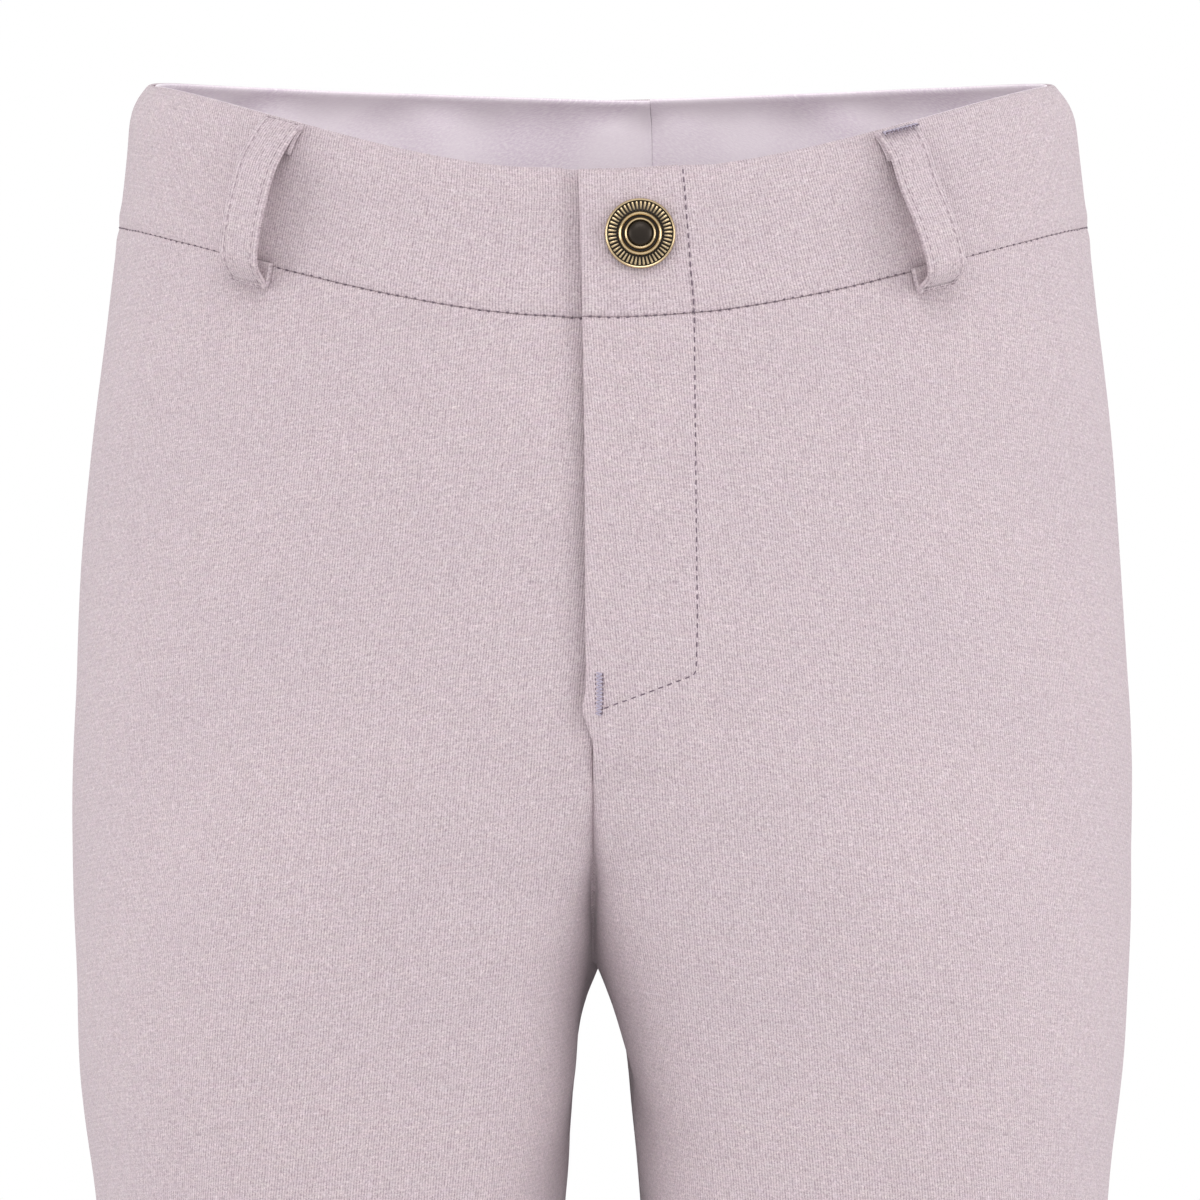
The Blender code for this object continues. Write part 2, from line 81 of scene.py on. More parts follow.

# Heights, as distances below the top edge at the side seam
BAND_HEIGHT = 34.2
CROTCH = 210.0
HEM = 840.0
BAND_FREE_TO = (5.0, 25.0)  # the band's top edge is free, its lower one sewn
FRONT_DIP = 23.4  # the top edge lies this much lower at the centre front than at the sides
DIP_POWER = 2.1
BACK_RISE = 2.1
RISE_POWER = 0.6
DIP_ENDS = 165.0

# Front closure: the left side laps over the right one
LAP = 3.9
LAP_SPREAD = 2.1  # the folded edge passes the centre this much further at the top, fading out below
LAP_SPREAD_REACH = 32.0
LAP_SPREAD_WIDTH = 30.0  # the band's columns are shifted for it up to this far from the fold
LAP_LIFT = CLOTH_WALL + SEAM_GAP  # the upper layer stands this much above the form
BAND_UNDERLAP = 19.0
FLY_UNDERLAP = 12.0
UNDERLAP_RISE = 0.9  # the under layer's top edge stands this much higher at the closure
UNDERLAP_RISE_REACH = (6.0, 30.0)  # which fades out from the centre
UNDERLAP_RISE_DOWN = (0.0, 24.0)  # and downwards
UNDERLAP_END = 128.0
UNDERLAP_SETTLED = 140.0
LAP_FULL_TO = 19.6
LAP_DOWN_AT = 27.0
FLY_END = 146.0
FLY_EDGE_SETTLED = 158.0
FLY_FLAT_AT = 170.0
SEAM_ROUNDING = 0.25
SEAM_DRIFT = 2.1  # the centre front seam runs this much to the wearer's right above the crotch
SEAM_DRIFT_REACH = 26.0
SEAM_DRIFT_STARTS = (140.0, 158.0)
SEAM_DRIFT_ENDS = (206.0, 240.0)

# (amount, start, end) of what the draw of the centre front seam gains on the way down
DRAW_DEPTH = ((0.5, 150.0, 168.0), (2.6, 164.0, 190.0), (9.0, 180.0, 203.0))
DRAW_WIDTH = ((0.5, 165.0, 190.0), (0.7, 186.0, 208.0))
DRAW_LEAST_WIDTH = 0.6
DRAW_ENDS = (210.0, 236.0)

# The lap's springy fold, and the hollow beside it in the layer below with its raised lip
FOLD_RISE, FOLD_AT, FOLD_WIDTH = 0.5, 1.6, 2.2
HOLLOW_DEPTH, HOLLOW_LESS_ON_BAND = 1.5, 0.6
HOLLOW_LIP, HOLLOW_LIP_AT, HOLLOW_LIP_WIDTH = 0.35, 8.0, 3.2

# The waist seam: (height, wavelength, phase) of its puckers, the swell beside it, and its groove
PUCKERS = ((0.07, 4.4, 0.0), (0.05, 7.1, 1.0))
PUCKER_WIDTH = 3.0
SWELL_RISE, SWELL_AT, SWELL_WIDTH = 0.22, 3.2, 2.0
GROOVE_DEPTH, GROOVE_WIDTH = 0.15, 1.1

# Belt loops
LOOP_WIDTH = 10.5
LOOP_THICKNESS = 1.5
LOOP_TOP = 1.9
LOOP_BOTTOM = 38.0
LOOP_TOP_FLAP = (5.5, 4.0, 2.5, 1.2)  # rows of points on the flaps, from the loop's top and bottom
LOOP_BOTTOM_FLAP = (0.8, 1.8, 3.0, 4.5)
LOOP_TURNS = np.linspace(-math.pi / 2, math.pi / 2, 9)
LOOP_ROWS = np.linspace(0.04, 0.96, 36)  # rows between the turns, as shares of the loop's length
LOOP_LIFT = 0.45 + LOOP_THICKNESS / 2  # the middle of its flaps above the band's cloth
LOOP_FOLD_RADIUS = (LOOP_THICKNESS + SEAM_GAP) / 2
LOOP_SEAM = 3.7  # from the middle of a loop to each of its two rows of stitches
# how dark the painted shade is in the grooves of a loop's two rows of stitches
LOOP_SEAM_SHADE = 0.12
LOOP_ROW_STEPS = slice(6, -6)  # the rows of stitches run between these steps of a loop's path
LOOP_TACK_STEPS = (9, -11)  # and its ends are sewn down at these
LOOP_TACK_REACH = 4.6
LOOP_EDGE, LOOP_EDGE_RISE = 0.75, 0.78  # how far its rounded edges reach in, and half their thickness
LOOP_EDGE_TURNS = np.linspace(math.pi / 2, -math.pi / 2, 7)
LOOP_FACE = ((LOOP_SEAM, 0.58), (3.2, 0.72), (2.2, 0.76), (0.0, 0.76))  # (across, half the thickness)

# Button
BUTTON_FROM_CENTRE = 9.0
BUTTON_DOWN = 15.0
POST_RADIUS = 2.2
POST_HOLE_RADIUS = 2.5
PLATE_RADIUS = 5.0
PLATE_THICKNESS = 1.0
PLATE_CLEARANCE = 0.5
PLATE_TOP = -(2 * CLOTH_WALL + FACING_WALL + 2 * SEAM_GAP + PLATE_CLEARANCE)
PLATE_ROUNDING = 0.2
CAP_SIDES = 96
SMOOTH_BELOW = math.radians(38)

# The facing's join is a little to the wearer's left of the centre back
FACING_JOIN = 12.8
FACING_TOP = -0.15
FACING_BOTTOM = 33.6
WAVE_HEIGHT, WAVE_LENGTH = 0.5, 41.0
SMALL_WAVE_HEIGHT, SMALL_WAVE_LENGTH = 0.35, 23.0
FACING_DEPTH = CLOTH_WALL + SEAM_GAP  # its outer face lies this far inside the band's

# Fly stitching: from the centre front, at the top edge, the waist seam and the corner
FLY_STITCH_TOP = 18.8
FLY_STITCH_WAIST = 21.4
FLY_STITCH_CORNER = 22.2
FLY_CORNER_DOWN = 138.4
FLY_FOOT_DOWN = 147.5
FLY_FOOT = 0.9
FLY_SAMPLES = 60  # between one knot of its path and the next
SEAM_SAMPLES = 260
HEM_SAMPLES = 240
TACK_SAMPLES = 12
FLY_STITCH_RISE = 0.22  # the stitches stand this much higher on the band
TACK_HEIGHT = 11.6
TACK_BELOW_FOOT = 1.6
TACK_WIDTH = 1.75
TACK_FROM_CENTRE = -0.8
TACK_PITCH = 0.42
STITCH_GROOVE, STITCH_GROOVE_WIDTH = 0.3, 0.6
STITCH_LIP, STITCH_LIP_AT, STITCH_LIP_WIDTH = 0.3, 1.5, 0.9
STITCH_RISE = 0.35  # how far the middle of a stitch lies above the cloth, as a share of its thickness
STITCH_SHIFT = 3.7  # moves the thread's pattern on from stitch to stitch
SUNK = 0.12  # the thread between two stitches lies this deep
HEM_STITCH_DOWN = HEM - HEM_HEIGHT + 2.0
STITCH_END = ((0.38, -0.35, 0.86), (0.22, -1.5, 0.6))  # (reach, drop, size) of its two last rings
GRAIN_LINE = 62.0  # the wales run straight down the middle of each leg, this far from the centre
GRAIN_LEAN = 0.09  # and lean in towards the centre above GRAIN_LEANS_ABOVE
GRAIN_LEANS_ABOVE = 270.0

# Stage, in metres
FLOOR_SIZE = 6.0
FLOOR_HEIGHT = -0.88
CAMERA_DISTANCE = 2.6
CAMERA_FRAME = 0.288  # width of the view at the object
CAMERA_HEIGHT = -0.1234
CAMERA_SIDE = -0.0005
SENSOR_WIDTH = 36.0
LIGHT_TARGET = Vector((0.0, 0.0, -0.2))
# (name, location, size, the setting that gives its power, and its share of that)
LIGHTS = (
    ("high_light", (0.0, -0.38, 1.97), 1.4, "high_power", 1.0),
    ("front_light", (0.0, -1.56, 1.36), 1.2, "front_power", 1.0),
    ("key_light", (1.52, -1.52, 0.26), 1.2, "key_power", 1.0),
    ("fill_light", (-1.52, -1.52, 0.26), 1.2, "fill_power", 1.0),
    ("side_light_left", (-2.1, -0.56, 0.11), 1.2, "side_power", 1.0),
    ("side_light_right", (2.1, -0.56, 0.11), 1.2, "side_power", 1.15),
)

# Horizontal sections of one half: half_width and inner_edge are its reach in x, front and back its
# reach in y. Above the crotch it is cut off at the centre plane.
SECTION_COLUMNS = ("down", "half_width", "inner_edge", "centre", "front", "back", "inner_power")
SECTIONS = (
    (0.0, 108.9, -108.9, 0.0, -71.0, 72.0, 2.2),
    (3.5, 111.6, -111.6, 0.0, -73.2, 74.2, 2.2),
    (13.0, 114.0, -114.0, 0.0, -75.0, 76.4, 2.2),
    (33.0, 115.9, -115.9, 0.0, -77.0, 80.0, 2.2),
    (51.0, 118.3, -118.3, 0.0, -78.6, 84.0, 2.2),
    (75.0, 121.2, -120.0, 0.0, -80.2, 88.6, 2.2),
    (100.0, 123.6, -116.0, 0.5, -81.2, 92.6, 2.25),
    (124.0, 125.4, -98.0, 3.5, -81.6, 95.2, 2.35),
    (148.0, 126.8, -63.0, 13.0, -81.6, 96.0, 2.5),
    (170.0, 127.3, -31.5, 31.0, -81.0, 94.4, 3.2),
    (190.0, 127.2, -12.5, 49.0, -80.0, 90.8, 4.0),
    (200.0, 126.8, -5.4, 56.3, -79.3, 88.3, 4.6),
    (210.0, 126.2, 0.0, 61.6, -78.5, 85.6, 4.8),
    (220.0, 125.6, 3.5, 64.2, -77.6, 82.6, 4.8),
    (235.0, 124.6, 6.2, 65.4, -76.3, 78.2, 4.6),
    (262.0, 121.7, 9.0, 65.3, -73.8, 71.6, 4.0),
    (300.0, 118.0, 11.0, 64.5, -70.6, 65.2, 3.4),
    (360.0, 113.6, 12.6, 63.1, -66.0, 57.2, 2.7),
    (430.0, 109.9, 14.0, 62.0, -61.0, 51.0, 2.3),
    (510.0, 107.0, 16.0, 61.5, -56.0, 48.0, 2.1),
    (580.0, 105.2, 18.0, 61.6, -50.6, 49.4, 2.1),
    (640.0, 103.4, 20.0, 61.7, -44.6, 51.0, 2.1),
    (740.0, 98.4, 25.0, 61.7, -33.4, 46.4, 2.1),
    (840.0, 94.0, 30.0, 62.0, -25.0, 41.0, 2.1),
)
OUTER_POWER = 2.2
ARC_SAMPLES = 96
HALVINGS = 40  # steps in the search for the end of an arc
STEADY_ROWS = (60.0, 90.0, 120.0, 145.0, 165.0, 213.0, 225.0, 240.0, 270.0, 300.0)
STEADY_FROM = (110.0, 150.0)
STEADY_TO = (225.0, 260.0)
STEADY_SHARE = 0.75
STEP_DOWN = 0.4
STEP_AROUND = 0.002

# (start, end, step) of the rows of points down a leg panel
PANEL_ROWS = (
    (39.0, 165.0, 2.0), (165.0, 198.0, 1.5), (198.0, 207.0, 0.8), (207.0, 209.7, 0.4),
    (210.3, 214.0, 0.5), (214.0, 226.0, 1.1), (226.0, 262.0, 2.0), (262.0, 812.0, 3.5),
)
FLY_PANEL_ROWS = ((39.0, 133.0, 1.4), (133.0, 152.0, 0.6), (152.0, 165.0, 1.4), *PANEL_ROWS[1:])
LAP_COLUMNS = 4  # columns between those near the folded edge and the first under the stitching
# distances from the centre of the columns there, closest under the stitching
FLY_COLUMNS = np.concatenate(
    [np.arange(4.2, 17.5, 1.0), np.arange(17.8, 24.2, 0.6), np.arange(25.0, 33.0, 2.0)])
EDGE_STEPS = (0.0, 0.12, 0.32, 0.6, 1.0, 1.6, 2.6)  # points near an edge, from the edge
HEM_STEPS = (-5, -3, -2, -1.2, -0.6, 0, 0.6, 1.2, 2, 3.5, 6, 9, 12, 15)  # and near the hem's fold
COLUMN_STEP = 2.6
BAND_STEP = 1.5
BAND_ROW_STEP = 1.1
FACING_ROW_STEP = 1.6

# Height of a belt loop's middle layer above the cloth, from its top (0) to its foot (1)
LOOP_BOW = (
    (0.0, 3.0), (0.09, 4.0), (0.2, 6.2), (0.34, 8.0), (0.5, 9.0), (0.68, 9.2), (0.82, 8.5),
    (0.93, 6.2), (1.0, 3.0),
)
# (name, half, end, distance from the centre, lean, sag) of each loop
LOOPS = (
    ("loop_front_left", 1, "front", 74.5, 5.0, 2.0),
    ("loop_front_right", -1, "front", 81.8, 2.8, 1.1),
    ("loop_back_left", 1, "back", 114.0, 0.0, 1.3),
    ("loop_back_right", -1, "back", 100.0, 0.0, 1.2),
    ("loop_centre_back", 1, "back", 0.0, 0.0, 1.0),
)

# (radius, height above the band's cloth) of the button's cap, from its back edge to its centre
CAP = (
    (8.2, 0.8), (8.25, 1.25), (8.12, 1.62), (7.95, 1.75), (7.75, 1.68), (7.62, 1.35), (7.55, 1.2),
    (5.35, 1.2), (5.2, 1.3), (4.95, 1.85), (4.72, 2.0), (4.5, 1.88), (4.3, 1.45), (4.15, 1.35),
    (3.85, 1.35), (3.75, 1.6), (3.55, 2.1), (3.4, 2.2), (3.2, 2.1), (3.05, 1.7), (2.9, 1.6),
    (2.8, 1.95), (2.5, 2.35), (1.9, 2.62), (1.2, 2.72), (0.6, 2.75),
)
RIBS = 46
RIB_FROM, RIB_TO = 5.55, 7.5  # the ribs lie between the rings and the rim
RIB_FOOT, RIB_TOP = 1.05, 1.66
RIB_WIDTH = 0.56
RIB_TAPER = 0.68
RIB_ROUNDING = 0.17

# Creases of the worn cloth: (half, down, around, down at the end, around at the end, width, depth),
# where half 1 is the wearer's left and -1 the right
CREASES = (
    # pull lines at the front, under the band
    (1, 44.0, -0.52, 58.0, -0.80, 7.0, 0.55),
    (1, 60.0, -0.36, 104.0, -0.60, 10.0, 0.5),
    (-1, 40.0, -0.86, 46.0, -0.62, 5.0, 0.45),
    (-1, 58.0, -0.30, 96.0, -0.52, 11.0, 0.5),
    # folds that run out from the crotch over the front of the thighs
    (1, 176.0, -0.985, 128.0, -0.70, 8.0, 0.7),
    (1, 196.0, -0.97, 172.0, -0.66, 7.0, 0.55),
    (-1, 182.0, -0.98, 138.0, -0.68, 9.0, 0.65),
    (-1, 199.0, -0.96, 186.0, -0.62, 7.0, 0.5),
    # under the seat
    (1, 236.0, 0.98, 214.0, 0.52, 8.0, 1.5),
    (1, 262.0, 0.96, 244.0, 0.50, 9.0, 1.2),
    (1, 290.0, 0.90, 300.0, 0.45, 9.0, 0.9),
    (-1, 232.0, 0.98, 216.0, 0.58, 8.0, 1.3),
    (-1, 266.0, 0.97, 240.0, 0.44, 10.0, 1.3),
    (-1, 298.0, 0.86, 288.0, 0.40, 8.0, 0.8),
    # seat, beside the centre back
    (1, 120.0, 0.97, 186.0, 0.80, 12.0, 0.8),
    (-1, 132.0, 0.97, 192.0, 0.84, 11.0, 0.9),
    # inside of the thighs
    (1, 224.0, -0.99, 262.0, -0.62, 8.0, 0.8),
    (-1, 228.0, -0.99, 276.0, -0.66, 9.0, 0.7),
    # behind and beside the knees
    (1, 462.0, 0.92, 474.0, 0.28, 8.0, 2.0),
    (1, 488.0, 0.84, 480.0, 0.34, 7.0, 1.6),
    (1, 508.0, 0.95, 520.0, 0.22, 9.0, 1.9),
    (1, 540.0, 0.80, 530.0, 0.36, 7.0, 1.1),
    (-1, 456.0, 0.90, 466.0, 0.24, 8.0, 1.8),
    (-1, 482.0, 0.93, 492.0, 0.38, 8.0, 1.9),
    (-1, 512.0, 0.86, 504.0, 0.20, 8.0, 1.5),
    (-1, 536.0, 0.90, 548.0, 0.42, 9.0, 1.2),
    (1, 470.0, -0.96, 486.0, -0.62, 8.0, 0.9),
    (-1, 478.0, -0.96, 470.0, -0.58, 9.0, 0.9),
    (1, 500.0, -0.10, 522.0, -0.42, 9.0, 0.8),
    (-1, 494.0, -0.12, 508.0, -0.46, 9.0, 0.9),
    # below the knees, where the leg narrows
    (1, 640.0, 0.60, 668.0, 0.10, 11.0, 0.9),
    (-1, 628.0, 0.66, 660.0, 0.16, 11.0, 0.8),
    (1, 620.0, -0.80, 652.0, -0.40, 11.0, 0.7),
    (-1, 634.0, -0.78, 612.0, -0.34, 11.0, 0.7),
    # at the ankles
    (1, 762.0, 0.92, 752.0, 0.20, 8.0, 1.5),
    (1, 784.0, 0.70, 790.0, 0.05, 8.0, 1.3),
    (1, 776.0, -0.20, 764.0, -0.84, 8.0, 1.2),
    (1, 800.0, -0.40, 806.0, -0.95, 7.0, 0.9),
    (-1, 756.0, 0.88, 768.0, 0.14, 8.0, 1.4),
    (-1, 788.0, 0.90, 780.0, 0.30, 8.0, 1.4),
    (-1, 768.0, -0.12, 780.0, -0.78, 9.0, 1.2),
    (-1, 802.0, -0.30, 796.0, -0.90, 7.0, 0.9),
)
CREASE_SAMPLES = 12
CREASE_LIP = 0.32  # the raised lips beside a crease, as a share of its depth
CREASE_LIP_AT = 1.9  # and their distance from its middle, as a share of its width
CREASE_FADING = 0.8

# (amplitude, wavelength, direction) of the slow unevenness of stretched cloth
RIPPLE_PHASE = 9.0
RIPPLES = (
    (0.22, 74.0, (0.8, 0.2, 0.5)),
    (0.18, 53.0, (-0.3, 0.6, 0.9)),
    (0.12, 37.0, (0.9, -0.4, -0.3)),
    (0.07, 23.0, (0.2, 0.9, 0.6)),
)


# ---- the form ------------------------------------------------------------------------------------

def smooth_columns(columns, rows):
    """A natural cubic spline through each column of a table, as functions of its first column."""
    table = np.array(rows, dtype=float)
    knots = table[:, 0]
    steps = np.diff(knots)
    count = len(knots)
    system = np.eye(count)
    for i in range(1, count - 1):
        system[i, i - 1:i + 2] = steps[i - 1], 2 * (steps[i - 1] + steps[i]), steps[i]

    def curve(values):
        right = np.zeros(count)
        right[1:-1] = 3 * np.diff(np.diff(values) / steps)
        bend = np.linalg.solve(system, right)
        slope = np.diff(values) / steps - steps * (2 * bend[:-1] + bend[1:]) / 3

        def read(at):
            at = np.clip(at, knots[0], knots[-1])
            i = np.clip(np.searchsorted(knots, at, side="right") - 1, 0, count - 2)
            t = at - knots[i]
            twist = (bend[i + 1] - bend[i]) / (3 * steps[i])
            return values[i] + t * (slope[i] + t * (bend[i] + t * twist))

        return read

    return {name: curve(table[:, k]) for k, name in enumerate(columns)}


SECTION = smooth_columns(SECTION_COLUMNS, SECTIONS)


def ease(value, start, end):
    """0 at start, 1 at end, and level at both."""
    t = np.clip((np.asarray(value, dtype=float) - start) / (end - start), 0.0, 1.0)
    return t * t * (3 - 2 * t)


def bell(distance, width):
    """1 at no distance, fading out over about twice the width."""
    return np.exp(-(np.asarray(distance) / width) ** 2)


def unit(vectors):
    return vectors / np.linalg.norm(vectors, axis=-1, keepdims=True)


def section_at(down, is_front):
    """The sizes of one quarter of the section."""
    centre = SECTION["centre"](down)
    front, back = SECTION["front"](down), SECTION["back"](down)
    return {
        "centre": centre,
        "middle": (front + back) / 2,
        "outer": SECTION["half_width"](down) - centre,
        "inner": centre - SECTION["inner_edge"](down),
        "depth": (back - front) / 2,
        "power": SECTION["inner_power"](down),
        "sign": np.full_like(centre, -1.0 if is_front else 1.0),
    }


def section_point(section, angle):
    """A point of the section, at an angle from straight out at the side."""
    cosine, sine = np.cos(angle), np.sin(angle)
    outside = cosine >= 0
    reach = np.where(outside, section["outer"], section["inner"])
    power = np.where(outside, OUTER_POWER, section["power"])
    across, along = np.abs(cosine) / reach, np.abs(sine) / section["depth"]
    radius = (across ** power + along ** power) ** (-1 / power)
    return section["centre"] + radius * cosine, section["middle"] + section["sign"] * radius * sine


def arcs(down, is_front):
    """One quarter of each section, side seam to end: its sizes, angles and running lengths."""
    section = section_at(down, is_front)
    gap = HALF_GAP * (ease(down, FLY_END, FLY_EDGE_SETTLED) if is_front else 1.0)
    low = np.full_like(section["centre"], math.pi / 3)
    high = np.full_like(section["centre"], math.pi)
    for _ in range(HALVINGS):
        middle = (low + high) / 2
        beyond = section_point(section, middle)[0] < gap
        low, high = np.where(beyond, low, middle), np.where(beyond, middle, high)
    end = np.minimum(low, math.pi - HALF_GAP / section["inner"])
    angles = end[:, None] * np.linspace(0.0, 1.0, ARC_SAMPLES + 1)
    x, y = section_point({name: value[:, None] for name, value in section.items()}, angles)
    steps = np.hypot(np.diff(x, axis=1), np.diff(y, axis=1))
    return section, angles, np.hstack([np.zeros((len(down), 1)), steps.cumsum(axis=1)])


def places(down, around):
    """The two numbers of places, as arrays of one shape."""
    return np.broadcast_arrays(np.asarray(down, dtype=float), np.asarray(around, dtype=float))


def quarter_length(down, end):
    """Length along the section from the side seam to the centre front or back, or to the inseam."""
    return arcs(np.atleast_1d(np.asarray(down, dtype=float)), end == "front")[2][:, -1]


def quarter_length_of(down, end):
    """quarter_length for an array of any shape."""
    rows, row = np.unique(down, return_inverse=True)
    return quarter_length(rows, end)[row].reshape(down.shape)


def steady_length(end):
    """The length of a quarter as a smooth function of down, without the cloth under the crotch."""
    rows = list(zip(STEADY_ROWS, quarter_length(STEADY_ROWS, end)))
    return smooth_columns(("down", "length"), rows)["length"]


STEADY_LENGTH = {end: steady_length(end) for end in ("front", "back")}
FRONT_LENGTH = float(quarter_length(BAND_HEIGHT, "front")[0])
BACK_LENGTH = float(quarter_length(BAND_HEIGHT, "back")[0])


def run_along(around):
    """Distances along the waist seam from the side seam, for places on the band."""
    return around * np.where(around < 0, FRONT_LENGTH, BACK_LENGTH)


def spread(share, down, end, length):
    """Share of the arc at which a column lies: held steady outside, squeezed where the legs part."""
    near = ease(down, *STEADY_FROM) * (1 - ease(down, *STEADY_TO))
    growth = 1 + (STEADY_LENGTH[end](down) / length - 1) * near
    held = STEADY_SHARE * growth
    inward = np.clip((share - STEADY_SHARE) / (1 - STEADY_SHARE), 0.0, 1.0)
    slope = growth * (1 - STEADY_SHARE) / (1 - held)
    squeezed = slope * inward / (1 + (slope - 1) * inward)
    return np.where(share < STEADY_SHARE, share * growth, held + (1 - held) * squeezed)


def height_at(down, around):
    """Height of a place, with the dip of the top edge at the front and its rise behind the sides."""
    share = np.clip(-around, 0.0, None)
    share = np.where(share > 1, 2 - share, share)
    dip = FRONT_DIP * np.sin(share * math.pi / 2) ** DIP_POWER
    dip = dip - BACK_RISE * np.sin(np.clip(around, 0.0, 1.0) ** RISE_POWER * math.pi)
    return -down - dip * (1 - ease(down, BAND_HEIGHT, DIP_ENDS))


def place(down, around, lower=0.0):
    """Points of the plain form of the wearer's left half, for arrays of places, or this much lower."""
    down, around = places(down, around)
    shape = down.shape
    down, around = down.ravel(), around.ravel()
    share = np.abs(around)
    side = np.where(share > 1, -1.0, 1.0)
    share = np.where(share > 1, 2 - share, share)
    points = np.empty((len(down), 3))
    points[:, 2] = height_at(down + lower, around)
    for end in ("front", "back"):
        here = (around < 0) == (end == "front")
        if not here.any():
            continue
        rows, row = np.unique(down[here], return_inverse=True)
        section, angles, lengths = arcs(rows, end == "front")
        wanted = spread(share[here], down[here], end, lengths[row, -1]) * lengths[row, -1]
        i = np.clip((lengths[row] < wanted[:, None]).sum(axis=1) - 1, 0, ARC_SAMPLES - 1)
        part = (wanted - lengths[row, i]) / (lengths[row, i + 1] - lengths[row, i])
        angle = angles[row, i] + part * (angles[row, i + 1] - angles[row, i])
        if lower:
            section = section_at(rows + lower, end == "front")
        x, y = section_point({name: value[row] for name, value in section.items()}, angle)
        points[here, 0], points[here, 1] = side[here] * x, y
    return points.reshape(*shape, 3)


def form(down, around, half):
    """Points of the plain form and its outward normals, on either half."""
    down, around = places(down, around)
    limit = np.where(down > CROTCH, 1.0, 2.0)
    forward = np.clip(around + STEP_AROUND, -limit, limit)
    backward = np.clip(around - STEP_AROUND, -limit, limit)
    across = place(down, forward) - place(down, backward)
    along = place(down, around, STEP_DOWN) - place(down, around, -STEP_DOWN)
    normal = unit(np.cross(along, across))
    return place(down, around) * (half, 1, 1), normal * (half, 1, 1)


def lap_at(down):
    """How far the folded edge passes the centre front."""
    return LAP + LAP_SPREAD * np.exp(-np.asarray(down) / LAP_SPREAD_REACH)


def lap_lift(down, from_centre):
    """How far the upper layer of the front closure stands above the form."""
    sideways = 1 - ease(from_centre, LAP_FULL_TO, LAP_DOWN_AT)
    return LAP_LIFT * sideways * (1 - ease(down, FLY_EDGE_SETTLED, FLY_FLAT_AT))


# ---- relief of the cloth -------------------------------------------------------------------------

def nearest_on(points, path):
    """Distance of each point from a path, and how far along it the nearest place is, 0 to 1."""
    flat = points.reshape(-1, 3)
    best = np.full(len(flat), np.inf)
    along = np.zeros(len(flat))
    count = len(path) - 1
    for k in range(count):
        start, step = path[k], path[k + 1] - path[k]
        t = np.clip((flat - start) @ step / (step @ step), 0.0, 1.0)
        distance = np.linalg.norm(flat - start - t[:, None] * step, axis=1)
        nearer = distance < best
        best = np.where(nearer, distance, best)
        along = np.where(nearer, (k + t) / count, along)
    return best.reshape(points.shape[:-1]), along.reshape(points.shape[:-1])


def crease_relief(points, half):
    """Soft troughs with raised lips, where the worn cloth folds."""
    relief = np.zeros(points.shape[:-1])
    t = np.linspace(0.0, 1.0, CREASE_SAMPLES + 1)
    for side, down, around, down_end, around_end, width, depth in CREASES:
        if side != half:
            continue
        path = place(down + (down_end - down) * t, around + (around_end - around) * t) * (half, 1, 1)
        distance, along = nearest_on(points, path)
        shape = CREASE_LIP * bell(distance - CREASE_LIP_AT * width, width) - bell(distance, width)
        relief += depth * shape * np.sin(np.pi * np.clip(along, 0.0, 1.0)) ** CREASE_FADING
    return relief


def ripple_relief(points):
    """The slow unevenness of stretched cloth."""
    relief = np.zeros(points.shape[:-1])
    for amplitude, wavelength, direction in RIPPLES:
        towards = unit(np.array(direction))
        relief += amplitude * np.sin(points @ towards * 2 * np.pi / wavelength + RIPPLE_PHASE * amplitude)
    return relief


def closure_relief(down, from_centre, half):
    """The lap's springy fold and the hollow in the layer beside it."""
    above_end = 1 - ease(down, FLY_END - 4, FLY_EDGE_SETTLED)
    lap = lap_at(down)
    if half > 0:
        return FOLD_RISE * bell(from_centre + lap - FOLD_AT, FOLD_WIDTH) * above_end
    on_band = 1 - ease(down, BAND_HEIGHT - 4, BAND_HEIGHT + 12)
    outside = ease(np.abs(from_centre - lap), 0.9 + 0.9 * on_band, 3.0 + 1.0 * on_band)
    hollow = (HOLLOW_DEPTH - HOLLOW_LESS_ON_BAND * on_band) * (1 - outside)
    lip = HOLLOW_LIP * bell(from_centre - lap - HOLLOW_LIP_AT, HOLLOW_LIP_WIDTH)
    return -(hollow - lip) * above_end


def grown(down, table, start=0.0):
    """What a table of (amount, start, end) adds up to on the way down."""
    return sum((amount * ease(down, first, last) for amount, first, last in table), start)


def centre_seam_draw(points, down):
    """How far back the centre front seam is drawn, more and more deeply and widely to the crotch."""
    offset = np.hypot(np.abs(points[..., 0]), SEAM_ROUNDING) - SEAM_ROUNDING
    shape = np.exp(-offset / grown(down, DRAW_WIDTH, DRAW_LEAST_WIDTH))
    at_front = ease(-points[..., 1], 8.0, 45.0)
    return grown(down, DRAW_DEPTH) * shape * (1 - ease(down, *DRAW_ENDS)) * at_front


def waist_seam_relief(down, run):
    """Small puckers on both sides of the waist seam."""
    from_seam = np.abs(down - BAND_HEIGHT)
    pucker = sum(height * np.sin(run * 2 * np.pi / wavelength + phase)
                 for height, wavelength, phase in PUCKERS)
    swell = SWELL_RISE * bell(from_seam - SWELL_AT, SWELL_WIDTH)
    return pucker * bell(from_seam, PUCKER_WIDTH) + swell - GROOVE_DEPTH * bell(from_seam, GROOVE_WIDTH)


